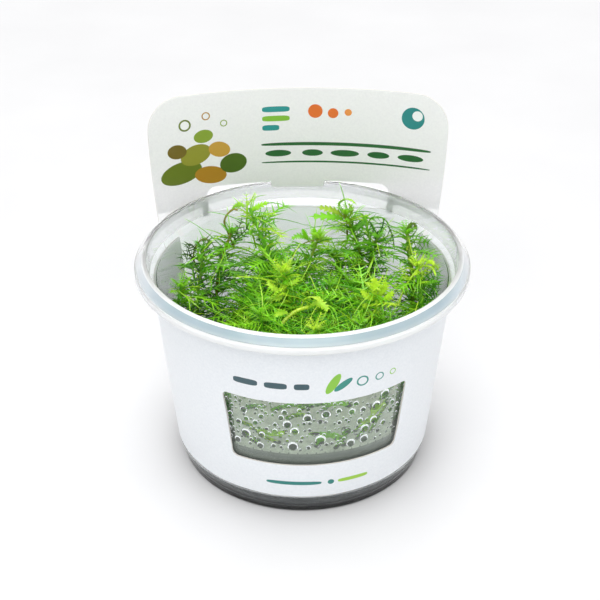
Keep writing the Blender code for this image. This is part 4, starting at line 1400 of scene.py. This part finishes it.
def make_window_fronds(patterns, tissue):
    """Leaves pressed against the wall behind the window, and a fringe at its two sides."""
    rng = random.Random(SEED + 3)
    leaves = []
    for kind, width, age, *places in WALL_LEAVES:
        points = [Vector(wall_point(WINDOW_TURN + angle, height * MM, 0.45 * MM))
                  for angle, height in places]
        middle = (points[0] + points[-1]) / 2
        across = (points[-1] - points[0]).cross(Vector((middle.x, middle.y, 0))).normalized()
        leaves.append(bent_copy(
            patterns[kind], points, across, width, 0.8, (age, rng.random(), 0.0)))
    for number in range(WINDOW_FRONDS):
        if number % 3:
            turn = WINDOW_TURN + rng.choice((-1, 1)) * rng.uniform(0.60, 0.72)
            age = rng.uniform(0.35, 0.65)
        else:
            turn = WINDOW_TURN + rng.uniform(-0.55, 0.55)
            age = rng.uniform(0.05, 0.55)
        z = rng.uniform(23.5, 36.0) * MM
        lean = rng.uniform(-0.10, 0.10)
        rise = rng.uniform(6.0, 9.0) * MM
        points = [
            Vector(wall_point(
                turn + lean * share ** 1.5, z + rise * share, (0.9 + 1.6 * (1 - share)) * MM))
            for share in (0.0, 0.33, 0.67, 1.0)]
        across = Vector((math.cos(turn), math.sin(turn), 0))
        leaves.append(bent_copy(
            patterns[rng.choice(("comb", "sparse", "young"))], points, across,
            rng.uniform(0.6, 0.95), 1.0, (age, rng.random(), 0.0)))
    foliage = make_foliage(leaves, "window_leaves", tissue)
    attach(foliage, "root")


def make_shoots(tissue):
    rng = random.Random(SEED)
    patterns = {
        "comb": frond_pattern("comb_pattern", 5, 3.4 * MM, 0.6, 0.15),
        "sparse": frond_pattern("sparse_pattern", 4, 4.0 * MM, 0.8, 0.1),
        "young": frond_pattern("young_pattern", 5, 2.6 * MM, 1.0, 0.35, 0.7, 0.8),
        "lobed": toothed_leaf_pattern("lobed_pattern", 6, 1.5 * MM, 1.1 * MM, 0.8),
        "thread": thread_pattern(),
        "stem": stem_pattern(),
    }
    for name in sorted(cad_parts):
        if name.startswith("shoot_"):
            grow_shoot(rng, name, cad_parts[name], patterns, tissue)
    make_window_fronds(patterns, tissue)
    for pattern in patterns.values():
        bpy.data.objects.remove(pattern)


# Water on the inside of the wall: beads, the bright arc on each, and mist between them

def kept_side(piece, place, direction):
    """Cut a piece by a plane, keep the side that the direction points to, and close the cut."""
    only(piece)
    bpy.ops.object.mode_set(mode="EDIT")
    bpy.ops.mesh.select_all(action="SELECT")
    bpy.ops.mesh.bisect(plane_co=place, plane_no=direction, use_fill=True, clear_inner=True)


def bead_pattern(fineness):
    """A drop sitting on a wall: half a ball, closed by its flat side."""
    bead = add_primitive("bead_pattern", "ico_sphere", subdivisions=fineness, radius=1.0)
    kept_side(bead, (0, 0, 0.04), (0, 0, 1))
    bpy.ops.mesh.select_all(action="SELECT")
    bpy.ops.transform.translate(value=(0, 0, -0.04))
    close_editing()
    return bead


def bead_places():
    """Angle from the front, height and size of each bead, the big ones first."""
    rng = random.Random(SEED + 5)
    placed = []
    for _ in range(MOST_TRIES):
        number = len(placed)
        if number == BEADS + TINY_BEADS:
            break
        by_window = number < BEADS or rng.random() < 0.6
        angle = WINDOW_TURN + rng.uniform(-BEAD_REACH, BEAD_REACH) if by_window else (
            rng.uniform(-3.1, 3.1))
        if number < BIG_BEADS:
            z = rng.uniform(24.2, 43.0) * MM
            size = rng.choice((0.75, 0.9, 1.05, 1.3, 1.5)) * MM
        elif number < BEADS:
            z = rng.uniform(23.8, 43.5) * MM
            size = rng.uniform(0.28, 0.6) * MM
        else:
            z = rng.uniform(23.6, 44.0 if by_window else 55.0) * MM
            size = rng.uniform(0.12, 0.24) * MM
        radius = inner_wall(z)
        gap = 0.10 * MM if number < BIG_BEADS else 0.04 * MM
        if all(math.hypot((angle - a) * radius, z - h) > size + other + gap
               for a, h, other in placed):
            placed.append((angle, z, size))
    return placed


def make_beads(places, water):
    rng = random.Random(SEED + 6)
    patterns = [bead_pattern(fineness) for fineness in (1, 2, 3)]
    upward = np.array((0.0, 0.0, 1.0))
    beads = []
    for number, (angle, z, size) in enumerate(places):
        mesh = patterns[2 if number < BIG_BEADS else int(size > 0.42 * MM)].data.copy()
        flat = read_points(mesh)
        spot = np.array(wall_point(angle, z, -0.01 * MM))
        inward = np.array((-math.sin(angle), math.cos(angle), 0.0))
        across = np.array((-math.cos(angle), -math.sin(angle), 0.0))
        tall = rng.uniform(1.0, 1.15)
        depth = rng.uniform(0.85, 1.0)
        points = (spot + flat[:, 0:1] * across * size + flat[:, 1:2] * upward * size * tall
                  + flat[:, 2:3] * inward * size * depth)
        mesh.vertices.foreach_set("co", points.ravel())
        beads.append(linked_copy("bead", mesh))
    for pattern in patterns:
        bpy.data.objects.remove(pattern)
    drops = join_pieces(beads, "water_beads")
    smooth_by_angle(drops, 60)
    give_finishes(drops, water)
    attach(drops, "root")


def glint_pattern():
    """A crescent over the top of a ring of radius one, thin and pointed at its ends."""
    glint = add_primitive(
        "glint_pattern", "torus", major_segments=18, minor_segments=4, major_radius=1.0,
        minor_radius=0.22)
    kept_side(glint, (0, -0.25, 0), (0, 1, 0))
    close_editing()
    for vertex in glint.data.vertices:
        flat = Vector((vertex.co.x, vertex.co.y, 0))
        ring = flat.normalized()
        taper = max(0.12, min(1.0, 0.25 + 0.85 * ring.y))
        vertex.co = ring * (0.82 + (flat.length - 1.0) * taper) + UP * vertex.co.z * taper * 0.2
    return glint


def make_glints(places, finish):
    rng = random.Random(SEED + 8)
    pattern = glint_pattern()
    glints = []
    for angle, z, size in places:
        if size < GLINT_LEAST or rng.random() < 0.12:
            continue
        glint = linked_copy("glint", pattern.data.copy())
        tilt = rng.uniform(-0.5, 0.5)
        across = Vector((math.cos(angle), math.sin(angle), 0))
        outward = Vector((math.sin(angle), -math.cos(angle), 0))
        spot = Vector(wall_point(angle, z, 0.02 * MM))
        breadth = size * rng.uniform(0.85, 1.1)
        for vertex in glint.data.vertices:
            x = vertex.co.x * math.cos(tilt) - vertex.co.y * math.sin(tilt)
            y = vertex.co.x * math.sin(tilt) + vertex.co.y * math.cos(tilt)
            vertex.co = spot + across * x * breadth + UP * y * breadth - outward * (
                0.02 * MM - vertex.co.z * size * 0.5)
        glints.append(glint)
    bpy.data.objects.remove(pattern)
    shine = join_pieces(glints, "water_bead_glints")
    smooth_by_angle(shine, 60)
    give_finishes(shine, finish)
    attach(shine, "root")


def make_mist(places, mist):
    """A thin film behind the window, left out round each bigger bead and along wall leaves."""
    bare = [(angle, z, size * 1.05) for angle, z, size in places if size > GLINT_LEAST]
    for _, _, _, *line in WALL_LEAVES:
        for (near_angle, near_z), (far_angle, far_z) in zip(line, line[1:]):
            for share in (0.0, 0.25, 0.5, 0.75, 1.0):
                bare.append((
                    WINDOW_TURN + near_angle + (far_angle - near_angle) * share,
                    (near_z + (far_z - near_z) * share) * MM, LEAF_HALF_GAP))
    film, cells = grid_piece(
        "water_mist_film",
        spread(WINDOW_TURN - MIST_REACH, WINDOW_TURN + MIST_REACH, MIST_COLUMNS),
        spread(GEL_TOP_Z + 0.4 * MM, MIST_TOP_Z, MIST_ROWS))
    for vertex, cell in zip(film.data.vertices, cells):
        vertex.co = wall_point(*cell, 0.05 * MM)
    open_for_editing(film)

    def is_bare(middle, normal):
        angle = math.atan2(middle.x, -middle.y)
        radius = inner_wall(middle.z)
        return any(
            math.hypot((angle - bare_angle) * radius, middle.z - z) < reach
            for bare_angle, z, reach in bare)

    pick_faces(film, is_bare)
    bpy.ops.mesh.delete(type="FACE")
    close_editing()
    apply_modifier(film, "SOLIDIFY", thickness=MIST_THICKNESS, offset=0.0)
    smooth_by_angle(film, 60)
    give_finishes(film, mist)
    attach(film, "root")


# Floor and light

def area_light(name, place, target, size, power):
    direction = Vector(target) - Vector(place)
    bpy.ops.object.light_add(
        type="AREA", location=place, rotation=direction.to_track_quat("-Z", "Y").to_euler())
    light = bpy.context.object
    light.name = name
    light.data.shape = "RECTANGLE"
    light.data.size, light.data.size_y = size
    light.data.energy = power
    return light


def light_the_set():
    scene = bpy.context.scene
    scene.view_settings.view_transform = "Standard"
    # A white tent, brightest above and a little behind the cup
    scene.world = bpy.data.worlds.new("studio")
    scene.world.use_nodes = True
    tree = scene.world.node_tree
    place = add_node(tree, "TexCoord").outputs["Generated"]
    height = add_node(tree, "VectorMath", place, (0.0, 0.25, 0.97), operation="DOT_PRODUCT")
    feed(tree.nodes["Background"], Color="FFFFFF", Strength=add_node(
        tree, "MapRange", height, From_Min=-1.0, From_Max=1.0, To_Min=0.30, To_Max=1.00))
    area_light("front_box", (-0.04, -0.36, 0.40), (0, 0, 0.05), (0.50, 0.30), 0.74)
    # A hidden fill close behind the card, so that the card glows a little on its inside
    glow = area_light("rear_fill", (0.0, 0.10, 0.045), (0, 0.04, 0.045), (0.11, 0.04), 0.016)
    glow.data.spread = math.radians(100)
    glow.visible_camera = False
    glow.visible_transmission = False
    bpy.ops.object.light_add(type="SUN", rotation=(math.radians(6), math.radians(-3), 0))
    overhead = bpy.context.object
    overhead.name = "overhead_softbox"
    overhead.data.energy = 1.3
    overhead.data.angle = math.radians(40)


def make_floor(paper):
    floor = add_primitive("paper_floor", "plane", size=12.0, location=(0, 0, 0))
    floor.data.materials.append(paper)


place_camera()
make_cup(
    clear_moulded_polypropylene(),
    milky_polypropylene_with_painted_light("milky_lip_and_painted_highlight", 0.15, "F2F7FA", "FBFDFE"),
    milky_polypropylene_with_painted_light("milky_web_and_painted_reflection", 0.55, "CADAE5", "E6F0F6"))
# The front's board is painted greyer and bluer than the header's, a painted shade on the same white
# board
make_sleeve(
    clay_coated_carton("printed_front_carton", "E3E7EB", "ECEFF2", FRONT_MARKS),
    clay_coated_carton("printed_header_carton", "F0F0F1", "F7F7F7", HEADER_MARKS),
    uncoated_carton(), cut_carton_edge())
make_gel(charcoal_agar_gel())
make_shoots(plant_tissue())
beads_at = bead_places()
make_beads(beads_at, condensed_water())
make_glints(beads_at, bead_glint())
make_mist(beads_at, water_mist())
make_floor(studio_paper())
light_the_set()
